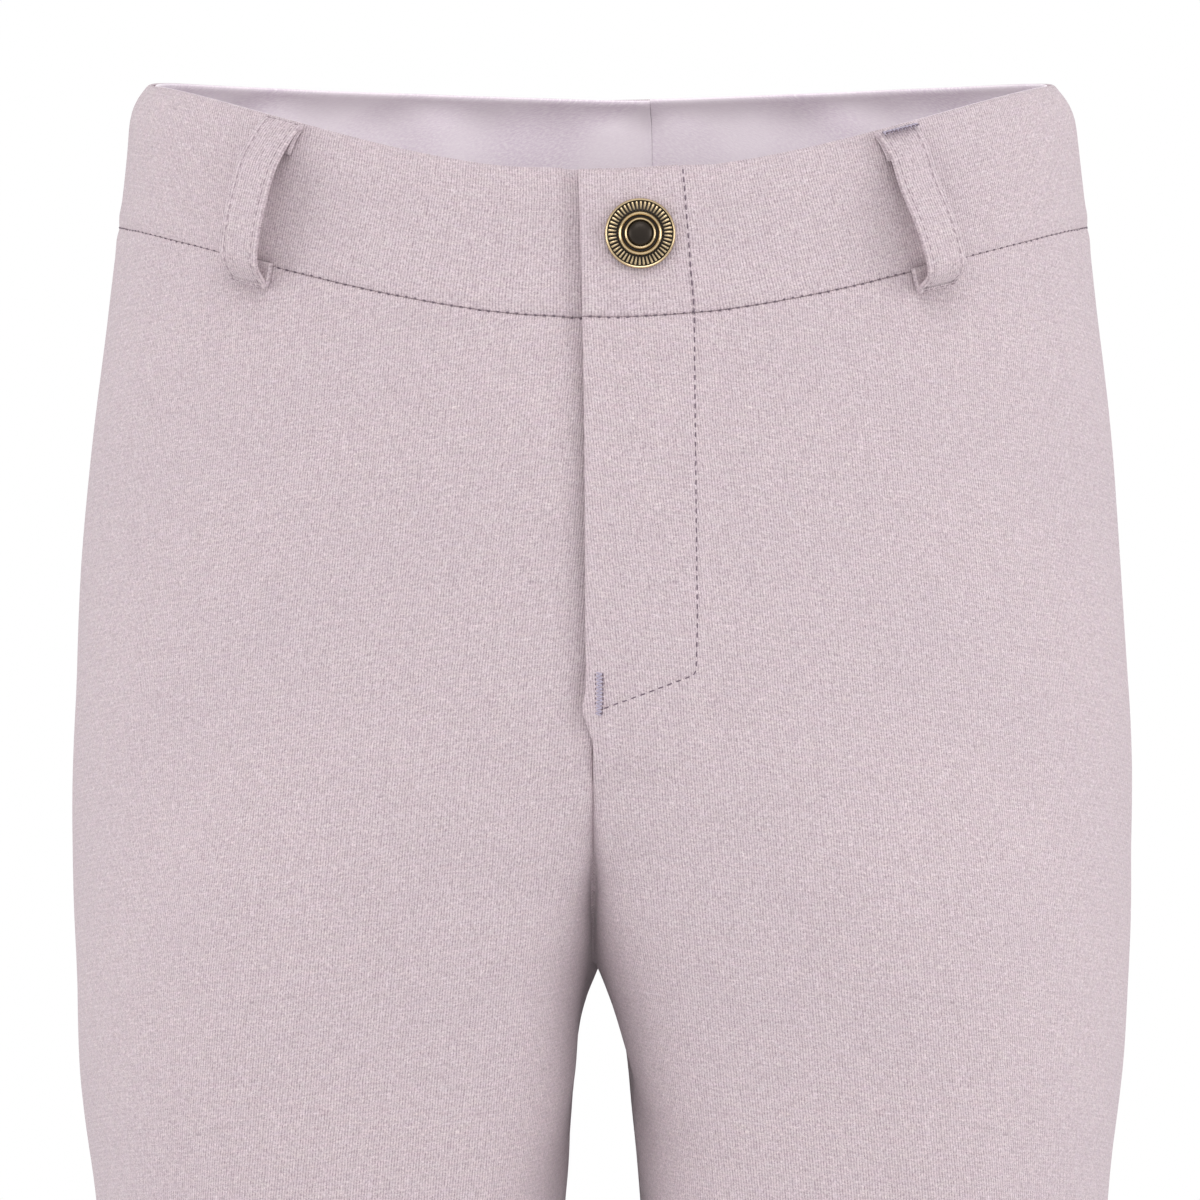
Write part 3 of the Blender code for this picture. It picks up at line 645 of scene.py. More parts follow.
def fly_stitch_path():
    """Places of the fly's stitching, down from the top edge and round its corner."""
    knots = (
        (1.0, FLY_STITCH_TOP), (BAND_HEIGHT, FLY_STITCH_WAIST),
        (FLY_CORNER_DOWN - 1.4, FLY_STITCH_CORNER), (FLY_CORNER_DOWN, FLY_STITCH_CORNER - 0.4),
        (FLY_FOOT_DOWN, FLY_FOOT),
    )
    lengths = np.cumsum([0.0] + [math.dist(a, b) for a, b in zip(knots, knots[1:])])
    along = np.linspace(0.0, lengths[-1], FLY_SAMPLES * (len(knots) - 1))
    down = np.interp(along, lengths, [knot[0] for knot in knots])
    from_centre = np.interp(along, lengths, [knot[1] for knot in knots])
    return down, -1 + from_centre / quarter_length(down, "front")


def stitch_relief(points, path):
    """The groove that a row of stitches pulls into the cloth, with its raised lips."""
    distance, _ = nearest_on(points, path)
    lip = STITCH_LIP * bell(distance - STITCH_LIP_AT, STITCH_LIP_WIDTH)
    return STITCH_GROOVE * (lip - bell(distance, STITCH_GROOVE_WIDTH))


def cloth(down, around, half, stitched=True):
    """The finished outer face: its points and normals."""
    down, around = places(down, around)
    points, normals = form(down, around, half)
    in_front = around < 0
    reach = np.where(in_front, quarter_length_of(down, "front"), quarter_length_of(down, "back"))
    from_centre = np.where(in_front, (1 + around) * reach, np.inf)
    depth = bpy.context.scene.jodhpurs_cloth.crease_depth
    relief = depth * crease_relief(points, half) + ripple_relief(points)
    relief += waist_seam_relief(down, around * reach)
    relief += closure_relief(down, from_centre, half)
    lift = 0.0
    if half > 0:
        lift = lap_lift(down, from_centre)
        if stitched:
            relief += stitch_relief(points, place(*fly_stitch_path()))
    moved = points + normals * (lift + relief)[..., None]
    drift = bell(points[..., 0], SEAM_DRIFT_REACH) * ease(down, *SEAM_DRIFT_STARTS)
    drift = drift * (1 - ease(down, *SEAM_DRIFT_ENDS)) * ease(-points[..., 1], -45.0, 45.0)
    moved[..., 0] -= SEAM_DRIFT * drift
    moved[..., 1] += centre_seam_draw(points, down)
    if half < 0:
        near = 1 - ease(from_centre, *UNDERLAP_RISE_REACH)
        moved[..., 2] += UNDERLAP_RISE * near * (1 - ease(down, *UNDERLAP_RISE_DOWN))
    return moved, normals


# ---- meshes --------------------------------------------------------------------------------------

def select_only(*things):
    bpy.ops.object.select_all(action="DESELECT")
    for thing in things:
        thing.select_set(True)
        bpy.context.view_layer.objects.active = thing


def select_faces(thing, chosen):
    """Select the faces that a test picks, and go into edit mode."""
    if thing.mode == "EDIT":
        bpy.ops.object.mode_set(mode="OBJECT")
    select_only(thing)
    bpy.ops.object.mode_set(mode="EDIT")
    bpy.ops.mesh.select_mode(type="FACE")
    bpy.ops.mesh.select_all(action="DESELECT")
    bpy.ops.object.mode_set(mode="OBJECT")
    for face in thing.data.polygons:
        face.select = chosen(face)
    bpy.ops.object.mode_set(mode="EDIT")


def primitive(add, **settings):
    """One of Blender's primitive meshes, with its place and turn applied."""
    bpy.ops.object.select_all(action="DESELECT")
    add(**settings)
    bpy.ops.object.transform_apply()
    return bpy.context.object


def extrude(*step):
    """Extrude the selected faces by a step along x, y and z."""
    bpy.ops.mesh.extrude_region_move(TRANSFORM_OT_translate={"value": step})


def round_edges(thing, width):
    """Round a piece's sharp edges."""
    rounding = thing.modifiers.new("rounding", "BEVEL")
    rounding.width, rounding.segments, rounding.limit_method = width * MM, 2, "ANGLE"
    select_only(thing)
    bpy.ops.object.modifier_apply(modifier=rounding.name)


def reach_along(points, axis=0):
    """Length run up to each point of a path, or of a grid's columns (axis 0) or rows (axis 1)."""
    steps = np.linalg.norm(np.diff(points, axis=axis), axis=-1)
    return np.insert(steps.cumsum(axis=axis), 0, 0.0, axis=axis)


def edge_distances(grid):
    """Distance of each point of a grid from its nearest edge, along its rows and along its columns."""
    nearest = []
    for axis in (1, 0):
        from_end = np.flip(reach_along(np.flip(grid, axis), axis), axis)
        nearest.append(np.minimum(reach_along(grid, axis), from_end))
    return nearest


def wall_thinning(from_edge, wall, free):
    """How far each face of a wall draws in near its edge, so that the edge is round."""
    t = np.clip(from_edge / (SEWN_ROUNDING + (EDGE_ROUNDING - SEWN_ROUNDING) * free), 0.0, 1.0)
    half_wall = np.maximum(np.sqrt(1 - (1 - t) ** 2), EDGE_WALL + SEWN_WALL * (1 - free))
    return wall / 2 * (1 - half_wall)


def grid_uv(grid, down=None):
    """Cloth coordinates of a grid in millimetres: along the courses, and down the wales."""
    u = reach_along(grid, 1)
    if down is None:
        return np.stack([u, -reach_along(grid)], axis=-1)
    x = np.abs(grid[..., 0]) * np.where(grid[..., 0] * np.sign(grid[0, -1, 0]) < 0, -1, 1)
    straight_at = GRAIN_LINE - GRAIN_LEAN * np.maximum(0.0, GRAIN_LEANS_ABOVE - down)
    for r, row in enumerate(x):
        order = np.argsort(row)
        u[r] -= np.interp(straight_at[r], row[order], u[r][order])
        if row[0] > row[-1]:
            u[r] *= -1
    lean = np.where(down < GRAIN_LEANS_ABOVE, GRAIN_LEAN, 0.0)[:, None]
    return np.stack([u, grid[..., 2] + lean * u], axis=-1)


def add_mesh(name, points, faces, uv, material):
    """A mesh object from points in millimetres, with cloth coordinates for each point."""
    mesh = bpy.data.meshes.new(name)
    mesh.from_pydata((points * MM).tolist(), [], faces)
    corners = np.empty(len(mesh.loops), dtype=np.int32)
    mesh.loops.foreach_get("vertex_index", corners)
    layer = mesh.uv_layers.new(name="cloth")
    layer.data.foreach_set("uv", uv.reshape(-1, 2)[corners].astype(np.float32).ravel())
    mesh.materials.append(bpy.data.materials[material])
    mesh.shade_smooth()
    thing = bpy.data.objects.new(name, mesh)
    bpy.context.scene.collection.objects.link(thing)
    return thing


def store(thing, name, values):
    """Keep a number for each point of a piece, which its material reads."""
    layer = thing.data.attributes.new(name, "FLOAT", "POINT")
    layer.data.foreach_set("value", np.asarray(values, dtype=np.float32).ravel())


def add_wall(name, half, outer, inner, uv, from_edge, material):
    """A closed wall between two grids of points, which meet round their edges."""
    rows, columns = outer.shape[:2]
    index = np.arange(rows * columns).reshape(rows, columns)
    corners = [index[:-1, :-1], index[1:, :-1], index[1:, 1:], index[:-1, 1:]]
    quads = np.stack(corners, axis=-1).reshape(-1, 4)
    rim = np.concatenate([index[0, :-1], index[:-1, -1], index[-1, :0:-1], index[:0:-1, 0]])
    after = np.roll(rim, -1)
    behind = rows * columns
    rim_quads = np.stack([rim, after, after + behind, rim + behind], axis=-1)
    faces = np.concatenate([quads, quads[:, ::-1] + behind, rim_quads])
    if half < 0:
        faces = faces[:, ::-1]
    points = np.concatenate([outer.reshape(-1, 3), inner.reshape(-1, 3)])
    thing = add_mesh(name, points, faces.tolist(), np.concatenate([uv.reshape(-1, 2)] * 2), material)
    # painted shade along the wall's edges
    store(thing, "painted_shade", np.concatenate([bell(from_edge.ravel(), EDGE_SHADE_WIDTH)] * 2))
    return thing


def face_outwards(thing):
    """Turn every face of a closed mesh outwards."""
    mesh = bmesh.new()
    mesh.from_mesh(thing.data)
    bmesh.ops.recalc_face_normals(mesh, faces=mesh.faces)
    mesh.to_mesh(thing.data)
    mesh.free()


def spans(table):
    """Numbers that run through (start, end, step) spans one after the other."""
    runs = [np.linspace(start, end, max(2, round((end - start) / step) + 1)) for start, end, step in table]
    return np.unique(np.concatenate(runs))


def declare(thing, node):
    """Attach a piece to the root body, and hide the frame's part that it stands for."""
    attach(thing, "root")
    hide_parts(node)


def declare_sheet(outer):
    """Reckon the sizes of the flat cut that a piece of cloth was made from, which nothing then uses."""
    across, along = reach_along(outer, 1)[:, -1], reach_along(outer)[-1]
    one = np.cross(outer[1:, :-1] - outer[:-1, :-1], outer[:-1, 1:] - outer[:-1, :-1])
    other = np.cross(outer[:-1, 1:] - outer[1:, 1:], outer[1:, :-1] - outer[1:, 1:])


# ---- pieces of cloth -----------------------------------------------------------------------------

def panel_down(table):
    """Distances down of a panel's rows, with more of them at its two ends and at the hem's fold."""
    top = BAND_HEIGHT + HALF_GAP
    ends = [top + step for step in EDGE_STEPS] + [HEM - step for step in EDGE_STEPS]
    hem = [HEM - HEM_HEIGHT + step for step in HEM_STEPS]
    return np.unique(np.concatenate([ends, hem, spans(table)]))


def hem_relief(down):
    """The hem's fold inside shows as a slight step above its row of stitches."""
    from_stitch = down - HEM_STITCH_DOWN
    return HEM_STEP * ease(from_stitch, -1.5, 1.5) - HEM_GROOVE * bell(from_stitch, 0.8)


def columns_from(start, length, under_stitching=()):
    """Distances from the centre for one row's columns, from its edge to the side seam."""
    near = [start + step for step in EDGE_STEPS]
    far = [length - HALF_GAP - step for step in EDGE_STEPS[::-1]]
    first, reach, lap = near[-1], FRONT_LENGTH, ()
    if len(under_stitching):
        lap = np.linspace(first, under_stitching[0], LAP_COLUMNS + 2)[1:-1]
        first = under_stitching[-1]
        reach = FRONT_LENGTH - first
    middle = np.linspace(first, far[0], round(reach / COLUMN_STEP) + 2)[1:-1]
    return np.concatenate([near, lap, under_stitching, middle, far])


def build_panel(name, half, end, edge, rows, under_stitching=()):
    """A leg panel from the waist seam to the hem; edge(down) is where its centre edge lies."""
    down = panel_down(rows)
    lengths = quarter_length(down, end)
    distances = np.array([columns_from(edge(row), length, under_stitching)
                          for row, length in zip(down, lengths)])
    around = (distances / lengths[:, None] - 1) * (1 if end == "front" else -1)
    down = np.broadcast_to(down[:, None], around.shape)
    points, normals = cloth(down, around, half)
    points = points + normals * hem_relief(down)[..., None]
    if end == "back":
        points, normals, down = points[:, ::-1], normals[:, ::-1], down[:, ::-1]
    sideways, lengthways = edge_distances(points)
    from_edge = np.minimum(sideways, lengthways)
    fold = HEM - HEM_HEIGHT
    wall = CLOTH_WALL + (HEM_WALL - CLOTH_WALL) * ease(down, fold - 1, fold)
    folded = (np.abs(around) > 0.5) & (down < FLY_END) if end == "front" else np.zeros_like(down)
    thinning = wall_thinning(from_edge, wall, np.maximum(ease(down, *LEG_END), folded))
    allowance = ALLOWANCE_RISE * bell(sideways - ALLOWANCE_AT, ALLOWANCE_WIDTH)
    allowance = allowance * ease(down, *ALLOWANCE_STARTS)
    outer = points + normals * (allowance - thinning)[..., None]
    inner = points + normals * (thinning - wall)[..., None]
    return add_wall(name, half, outer, inner, grid_uv(points, down[:, 0]), from_edge, "knit"), outer


def band_columns(start, back_reach):
    """Places along half of the band, from the front opening to past the centre back."""
    end = FRONT_LENGTH + (BACK_LENGTH + back_reach)
    front = [start + step for step in EDGE_STEPS]
    back = [end - step for step in EDGE_STEPS[::-1]]
    run = np.concatenate([front, np.arange(front[-1] + BAND_STEP, back[0], BAND_STEP), back]) - FRONT_LENGTH
    return np.where(run < 0, run / FRONT_LENGTH, run / BACK_LENGTH)[None, :]


def band_down(top, bottom, step):
    """Distances down of a band's rows, with more of them at its two edges."""
    ends = [top + s for s in EDGE_STEPS] + [bottom - s for s in EDGE_STEPS]
    return np.unique(np.concatenate([ends, np.arange(top + 3.5, bottom - 3, step)]))[:, None]


def build_band(name, half, start):
    """Half of the waistband, from the front opening to the centre back."""
    down = band_down(0.0, BAND_HEIGHT - HALF_GAP, BAND_ROW_STEP)
    around = band_columns(start, 0.0)
    if half > 0:
        spread_out = (lap_at(down) - LAP) / FRONT_LENGTH
        from_fold = (around + 1) * FRONT_LENGTH + LAP
        around = around - spread_out * (1 - ease(from_fold, 0.0, LAP_SPREAD_WIDTH))
    points, normals = cloth(down, around, half)
    from_edge = np.minimum(*edge_distances(points))
    free = np.maximum(1 - ease(down, *BAND_FREE_TO), around < -0.9)
    thinning = wall_thinning(from_edge, CLOTH_WALL, free)
    outer = points - normals * thinning[..., None]
    inner = points + normals * (thinning - CLOTH_WALL)[..., None]
    uv = grid_uv(points)
    uv[..., 0] += np.gradient(height_at(0.0, around[-1]), run_along(around[-1])) * uv[..., 1]
    return add_wall(name, half, outer, inner, uv, from_edge, "knit"), outer


def facing_relief(run, down):
    """Soft vertical waves of the satin, which is a little longer than the band it lines."""
    swaying = 0.6 * np.sin(down / 14.0)
    waves = WAVE_HEIGHT + WAVE_HEIGHT * np.sin(run * 2 * np.pi / WAVE_LENGTH + swaying)
    waves += SMALL_WAVE_HEIGHT * np.sin(run * 2 * np.pi / SMALL_WAVE_LENGTH + 1.3)
    return waves * ease(down, 0.0, 9.0)


def build_facing(name, half, start, back_reach):
    """Half of the waistband's satin facing, just inside the band's cloth."""
    down = band_down(FACING_TOP, FACING_BOTTOM, FACING_ROW_STEP)
    around = band_columns(start, back_reach)
    points, normals = cloth(down, around, half, stitched=False)
    sideways, lengthways = edge_distances(points)
    from_edge = np.minimum(sideways, lengthways)
    at_join = (around > 0.5) & (sideways < lengthways)
    thinning = np.where(at_join, 0.0, wall_thinning(from_edge, FACING_WALL, 0.0))
    waves = facing_relief(run_along(around) * half, down) * ease(from_edge, 0.0, 4.0)
    outer = points - normals * (FACING_DEPTH + thinning)[..., None]
    inner = points - normals * (FACING_DEPTH + FACING_WALL - thinning + waves)[..., None]
    return add_wall(name, half, outer, inner, grid_uv(points), from_edge, "facing_satin"), inner


def loop_path(sag):
    """Middle line of a belt loop as distances down and heights above the cloth, flap to flap."""
    fold = LOOP_FOLD_RADIUS
    turns = [(fold * math.cos(t), LOOP_LIFT + fold + fold * math.sin(t)) for t in LOOP_TURNS]
    bow = smooth_columns(("along", "height"), LOOP_BOW)["height"]
    path = [(LOOP_TOP + down, LOOP_LIFT) for down in LOOP_TOP_FLAP]
    path += [(LOOP_TOP - out, height) for out, height in turns]
    path += [(LOOP_TOP + along * (LOOP_BOTTOM - LOOP_TOP), float(bow(along ** sag))) for along in LOOP_ROWS]
    path += [(LOOP_BOTTOM + out, height) for out, height in turns[::-1]]
    path += [(LOOP_BOTTOM - down, LOOP_LIFT) for down in LOOP_BOTTOM_FLAP]
    return np.array(path)


def loop_section():
    """Round a belt loop's cross-section: across it, and through its thickness."""
    edge = [(LOOP_WIDTH / 2 - LOOP_EDGE + LOOP_EDGE * math.cos(t), LOOP_EDGE_RISE * math.sin(t))
            for t in LOOP_EDGE_TURNS]
    face = [*LOOP_FACE, *((-a, t) for a, t in LOOP_FACE[-2::-1])]
    back = [(-a, -t) for a, t in face]
    return np.array(face + [(-a, t) for a, t in edge] + back + [(a, t) for a, t in edge[::-1]])


def loop_frames(half, end, from_centre, lean, sag, offsets):
    """Points of a belt loop: at each step of its path, each (across, through) offset."""
    path = loop_path(sag)
    direction = unit(np.gradient(path, axis=0))
    sideways = np.stack([-direction[:, 1], direction[:, 0]], axis=1)
    below = path[:, None, :] + sideways[:, None, :] * offsets[None, :, 1:2]
    share = np.clip((path[:, 0] - LOOP_TOP) / (LOOP_BOTTOM - LOOP_TOP), 0.0, 1.0)
    sign = -1 if end == "front" else 1
    reach = FRONT_LENGTH if end == "front" else BACK_LENGTH
    middle = np.broadcast_to((sign * (1 - (from_centre + lean * share) / reach))[:, None], below.shape[:2])
    on_cloth = np.maximum(below[..., 0], 0.0)
    base = place(on_cloth, middle)
    across = unit(place(on_cloth, middle + STEP_AROUND) - place(on_cloth, middle - STEP_AROUND))
    outward = unit(np.cross((0.0, 0.0, -1.0), across))
    base = base + (on_cloth - below[..., 0])[..., None] * np.array((0.0, 0.0, 1.0))
    return (base + outward * below[..., 1:2] + across * offsets[None, :, 0:1]) * (half, 1, 1)


def build_loop(name, half, end, from_centre, lean, sag):
    """A folded strip that stands off the band, with both ends turned under and sewn down."""
    section = loop_section()
    rings = loop_frames(half, end, from_centre, lean, sag, section)
    count, around = rings.shape[:2]
    index = np.arange(count * around).reshape(count, around)
    after = np.roll(index, -1, axis=1)
    faces = np.stack([index[:-1], index[1:], after[1:], after[:-1]], axis=-1).reshape(-1, 4).tolist()
    faces += [index[0].tolist(), index[-1, ::-1].tolist()]
    along = reach_along(loop_path(sag))
    uv = np.stack(np.broadcast_arrays(section[None, :, 0], -along[:, None]), axis=-1)
    thing = add_mesh(name + "_strip", rings.reshape(-1, 3), faces, uv, "knit")
    face_outwards(thing)
    # painted shade in the grooves along the loop's two rows of stitches
    painted_shade = LOOP_SEAM_SHADE * bell(LOOP_SEAM - np.abs(section[:, 0]), 0.5)
    store(thing, "painted_shade", np.tile(painted_shade, count))
    declare(thing, name)


# ---- thread --------------------------------------------------------------------------------------

def model_stitch():
    """One stitch of thread, two units long and two thick, which dives into the cloth at its ends."""
    stitch = primitive(bpy.ops.mesh.primitive_cylinder_add, vertices=6, radius=1.0, depth=0.8,
                       rotation=(0, math.pi / 2, 0))
    for side in (-1, 1):
        select_faces(stitch, lambda face: face.normal.x * side > 0.9)
        for reach, drop, size in STITCH_END:
            extrude(side * reach, 0, drop)
            bpy.ops.transform.resize(value=(1, size, size))
    bpy.ops.object.mode_set(mode="OBJECT")
    points = np.array([vert.co for vert in stitch.data.vertices])
    faces = [list(face.vertices) for face in stitch.data.polygons]
    bpy.data.objects.remove(stitch)
    return points, faces


class Needle:
    """Sews rows of one stitch, repeated."""

    def __init__(self):
        settings = bpy.context.scene.jodhpurs_thread
        self.pitch, self.length = settings.pitch / MM, settings.length / MM
        self.thickness = settings.thickness / MM
        self.points, self.faces = model_stitch()

    def sew(self, name, stitches, share, material):
        """Stitches, each from one point to another, as one mesh; share is that of the thickness."""
        starts, ends, normals = (np.array(column) for column in zip(*stitches))
        points, count = self.points, len(self.points)
        forward = (ends - starts) / 2
        normal = unit(normals)
        sideways = unit(np.cross(normal, forward)) * (self.thickness * share) / 2
        upward = normal * (self.thickness * share) / 2
        middle = (starts + ends) / 2 + upward * STITCH_RISE
        placed = (points[None, :, 0:1] * forward[:, None] + points[None, :, 1:2] * sideways[:, None]
                  + points[None, :, 2:3] * upward[:, None] + middle[:, None])
        faces = [[corner + k * count for corner in face]
                 for k in range(len(stitches)) for face in self.faces]
        shift = np.repeat(np.arange(len(stitches)), count)[:, None] * STITCH_SHIFT
        uv = np.tile(points[:, :2], (len(stitches), 1)) + shift
        thing = add_mesh(name, placed.reshape(-1, 3), faces, uv, material)
        face_outwards(thing)
        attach(thing, "root")


def read_path(at, reach, values):
    """Points or normals of a path at lengths run along it."""
    return np.stack([np.interp(at, reach, values[:, k]) for k in range(3)], axis=-1)


def running(points, normals, pitch, length):
    """Stitches in a row along a path of points."""
    reach = reach_along(points)
    count = max(1, int(reach[-1] // pitch))
    starts = (np.arange(count) + 0.5) * reach[-1] / count - length / 2
    return list(zip(read_path(starts, reach, points), read_path(starts + length, reach, points),
                    read_path(starts + length / 2, reach, normals)))


def zigzag(points, normals, width):
    """Close zigzag stitches that cover a path."""
    reach = reach_along(points)
    count = int(reach[-1] / TACK_PITCH)
    along = np.linspace(0.0, reach[-1], count + 1)
    middle, normal = read_path(along, reach, points), read_path(along, reach, normals)
    across = unit(np.cross(normal, np.gradient(middle, axis=0))) * width / 2
    corners = middle + across * np.where(np.arange(count + 1) % 2, 1, -1)[:, None]
    return list(zip(corners, corners[1:], normal))


# ---- materials -----------------------------------------------------------------------------------

class Value:
    """The output of a node; reckoning with it adds the Math nodes for that."""

    def __init__(self, finish, socket):
        self.finish, self.socket = finish, socket

    def __add__(self, other):
        return self.finish.math("ADD", self, other)

    def __sub__(self, other):
        return self.finish.math("SUBTRACT", self, other)

    def __rsub__(self, other):
        return self.finish.math("SUBTRACT", other, self)

    def __mul__(self, other):
        return self.finish.math("MULTIPLY", self, other)

    def __truediv__(self, other):
        return self.finish.math("DIVIDE", self, other)

    def floor(self):
        return self.finish.math("FLOOR", self)


class Finish:
    """A material with its nodes, built up from small steps."""

    def __init__(self, name):
        self.material = bpy.data.materials.new(name)
        self.material.use_nodes = True
        self.tree = self.material.node_tree
        self.shader = self.tree.nodes["Principled BSDF"]

    def put(self, socket, value):
        if isinstance(value, Value):
            self.tree.links.new(value.socket, socket)
        else:
            socket.default_value = (*value, 1.0) if socket.type == "RGBA" else value

    def node(self, kind, output=0, inputs=(), **settings):
        made = self.tree.nodes.new("ShaderNode" + kind)
        for name, value in settings.items():
            setattr(made, name, value)
        for name, value in dict(inputs).items():
            self.put(made.inputs[name], value)
        return Value(self, made.outputs[output])

    def math(self, operation, *values):
        return self.node("Math", operation=operation, inputs=dict(enumerate(values)))

    def noise(self, vector, scale, detail=2.0, roughness=0.5, output=0):
        inputs = {"Vector": vector, "Scale": scale, "Detail": detail, "Roughness": roughness}
        return self.node("TexNoise", output, inputs)

    def cell(self, x, y):
        """A number for each square cell of the plane, which seems random."""
        where = self.join(x.floor(), y.floor())
        return self.node("TexWhiteNoise", noise_dimensions="2D", inputs={"Vector": where})

    def cloth(self):
        """The cloth coordinates, and each of them."""
        uv = self.node("UVMap", uv_map="cloth")
        made = self.tree.nodes.new("ShaderNodeSeparateXYZ")
        self.put(made.inputs[0], uv)
        return uv, Value(self, made.outputs[0]), Value(self, made.outputs[1])

    def join(self, x, y):
        return self.node("CombineXYZ", inputs={"X": x, "Y": y})

    def stretch(self, vector, *scale):
        return self.node("Mapping", inputs={"Vector": vector, "Scale": scale})

    def stored(self, name):
        return self.node("Attribute", output=2, attribute_name=name)

    def ramp(self, value, low, high, start=0.0, end=1.0):
        inputs = {"Value": value, "From Min": low, "From Max": high, "To Min": start, "To Max": end}
        return self.node("MapRange", inputs=inputs)

    def mix(self, factor, first, second, blend="MIX"):
        inputs = {0: factor, 6: first, 7: second}
        return self.node("Mix", 2, inputs, data_type="RGBA", blend_type=blend)

    def bump(self, strength, distance, height):
        return self.node("Bump", inputs={"Strength": strength, "Distance": distance, "Height": height})

    def shade(self, **inputs):
        for name, value in inputs.items():
            self.put(self.shader.inputs[name.replace("_", " ")], value)


def knit_finish():
    """Fine heathered jersey: columns of V stitches, a flecked yarn in each row, and soft patches, with
    painted shade between the stitches and along the edges.
    """
    settings = bpy.context.scene.jodhpurs_cloth
    f = Finish("knit")
    uv, u, v = f.cloth()
    columns = (u + (f.noise(uv, 0.16) - 0.5) * 0.5) / (settings.wale_width / MM)
    courses = v / (settings.course_height / MM)
    leg = f.math("PINGPONG", columns, 0.5) * 2.0
    rows = courses + leg * 0.5
    single = f.math("COSINE", rows * (2 * math.pi))
    double = f.math("COSINE", rows * math.pi)
    loops = single * 0.22 + double * 0.28
    groove = f.ramp(leg, 0.0, 0.66, 1.0, 0.0) * f.ramp(f.noise(uv, 1.1, 2.0, 0.6), 0.3, 0.7, 0.3, 1.3)
    row = courses.floor()
    streak = f.noise(f.join(u * 0.75, row * 5.37), 1.0, 2.0, 0.6)
    tone = f.mix(f.ramp(streak, 0.1, 0.9), settings.shade_colour, settings.light_colour)
    fleck = f.ramp(f.cell(columns, courses), 0.0, 1.0, 0.0, settings.fleck)
    tone = f.mix(fleck, tone, settings.shade_colour)
    hues = f.noise(f.stretch(uv, 0.3, 0.75, 1.0), 1.0, 3.0, 0.6, output=1)
    tone = f.mix(settings.hue_change, tone, hues, "LINEAR_LIGHT")
    patches = f.noise(f.stretch(uv, 0.016, 0.03, 1.0), 1.0, 3.0, 0.5)
    tone = f.mix(f.ramp(patches, 0.3, 0.7, 0.0, 0.25), tone, settings.mottle_colour)
    dashes = f.ramp(f.noise(f.join(u * 0.3, row * 8.13), 1.0), 0.7, 0.76)
    tone = f.mix(dashes * 0.45, tone, settings.dash_and_stitch_shade_colour)
    # painted shade between the stitches and in the grooves between the wales, with the yarn's real fine
    # specks mixed in
    dark = f.ramp(loops, -0.7, 0.7, 0.55, 0.0) * 0.8 + groove + f.cell(u * 3.7, v * 4.1) * settings.speckle
    tone = f.mix(dark * settings.relief, tone, settings.dash_and_stitch_shade_colour)
    # painted shade along the pieces' edges and in the loops' stitch grooves
    tone = f.mix(f.stored("painted_shade") * 0.12, tone, settings.edge_shade_colour)
    height = streak * 0.9 + (loops * 0.3 + (1.0 - groove))
    f.shade(Base_Color=tone, Normal=f.bump(0.6, 0.00018, height), Roughness=0.88, Specular_IOR_Level=0.22,
            Sheen_Weight=0.28, Sheen_Roughness=0.45, Sheen_Tint=(1.0, 0.96, 0.98))


def satin_finish():
    """Satin: a fine slanting weave, with painted sheen in soft broad zones."""
    settings = bpy.context.scene.jodhpurs_facing
    f = Finish("facing_satin")
    uv, u, v = f.cloth()
    threads = f.noise(f.stretch(f.join(v * 0.7 + u, u * -0.5 + v), 0.8, 2.3, 1.0), 1.0, 2.0, 0.65)
    grain = f.noise(uv, 1.3, 2.0, 0.7)
    sheen_zones = f.noise(f.stretch(uv, 0.034, 0.008, 1.0), 1.0, 1.0, 0.5)
    tone = f.mix(f.ramp(threads, 0.4, 0.6, 0.4, 1.0), settings.shade_colour, settings.light_colour)
    tone = f.mix(f.ramp(grain, 0.4, 0.62, 0.0, 0.4), tone, settings.shade_colour)
    # painted sheen: soft broad zones lightened towards the light colour
    tone = f.mix(f.ramp(sheen_zones, 0.42, 0.58, 0.0, 0.7), tone, settings.light_colour)
    # painted shade along the facing's edges
    tone = f.mix(f.stored("painted_shade") * 0.05, tone, settings.shade_colour)
    f.shade(Base_Color=tone, Normal=f.bump(0.4, 0.00009, threads + grain * 0.6), Specular_IOR_Level=0.5,
            Roughness=f.ramp(sheen_zones, 0.3, 0.7, 0.5, 0.36), Sheen_Weight=0.15, Sheen_Roughness=0.3)


def thread_finish(name, light):
    """Spun thread: a slight twist in its bump, and a tone that changes at random."""
    f = Finish(name)
    uv = f.cloth()[0]
    twist = f.node("TexWave", inputs={"Vector": f.stretch(uv, 1.0, 0.6, 1.0), "Scale": 1.6,
                                      "Distortion": 0.5})
    dark = tuple(channel * 0.72 for channel in light)
    tone = f.mix(f.ramp(f.noise(uv, 1.3), 0.35, 0.65), dark, light)
    f.shade(Base_Color=tone, Normal=f.bump(0.4, 0.00004, twist), Roughness=0.6, Sheen_Weight=0.2)


def brass_finish():
    """Antique brass: bright where it is raised and rubbed, dark in the recesses."""
    settings = bpy.context.scene.jodhpurs_button
    f = Finish("antique_brass")
    where = f.node("TexCoord", output=3)
    rubbed = f.stored("polish") + (f.noise(where, 900.0, 4.0, 0.6) - 0.5) * 0.55
    share = f.ramp(rubbed, 0.25, 0.75)
    scratches = f.noise(f.stretch(where, 1.0, 1.0, 0.2), 5200.0, 2.0, 0.6)
    f.shade(Base_Color=f.mix(share, settings.patina_colour, settings.brass_colour),
            Metallic=f.ramp(share, 0.0, 1.0, 0.75, 1.0), Roughness=f.ramp(rubbed, 0.2, 0.8, 0.38, 0.24),
            Normal=f.bump(0.18, 0.00003, scratches))


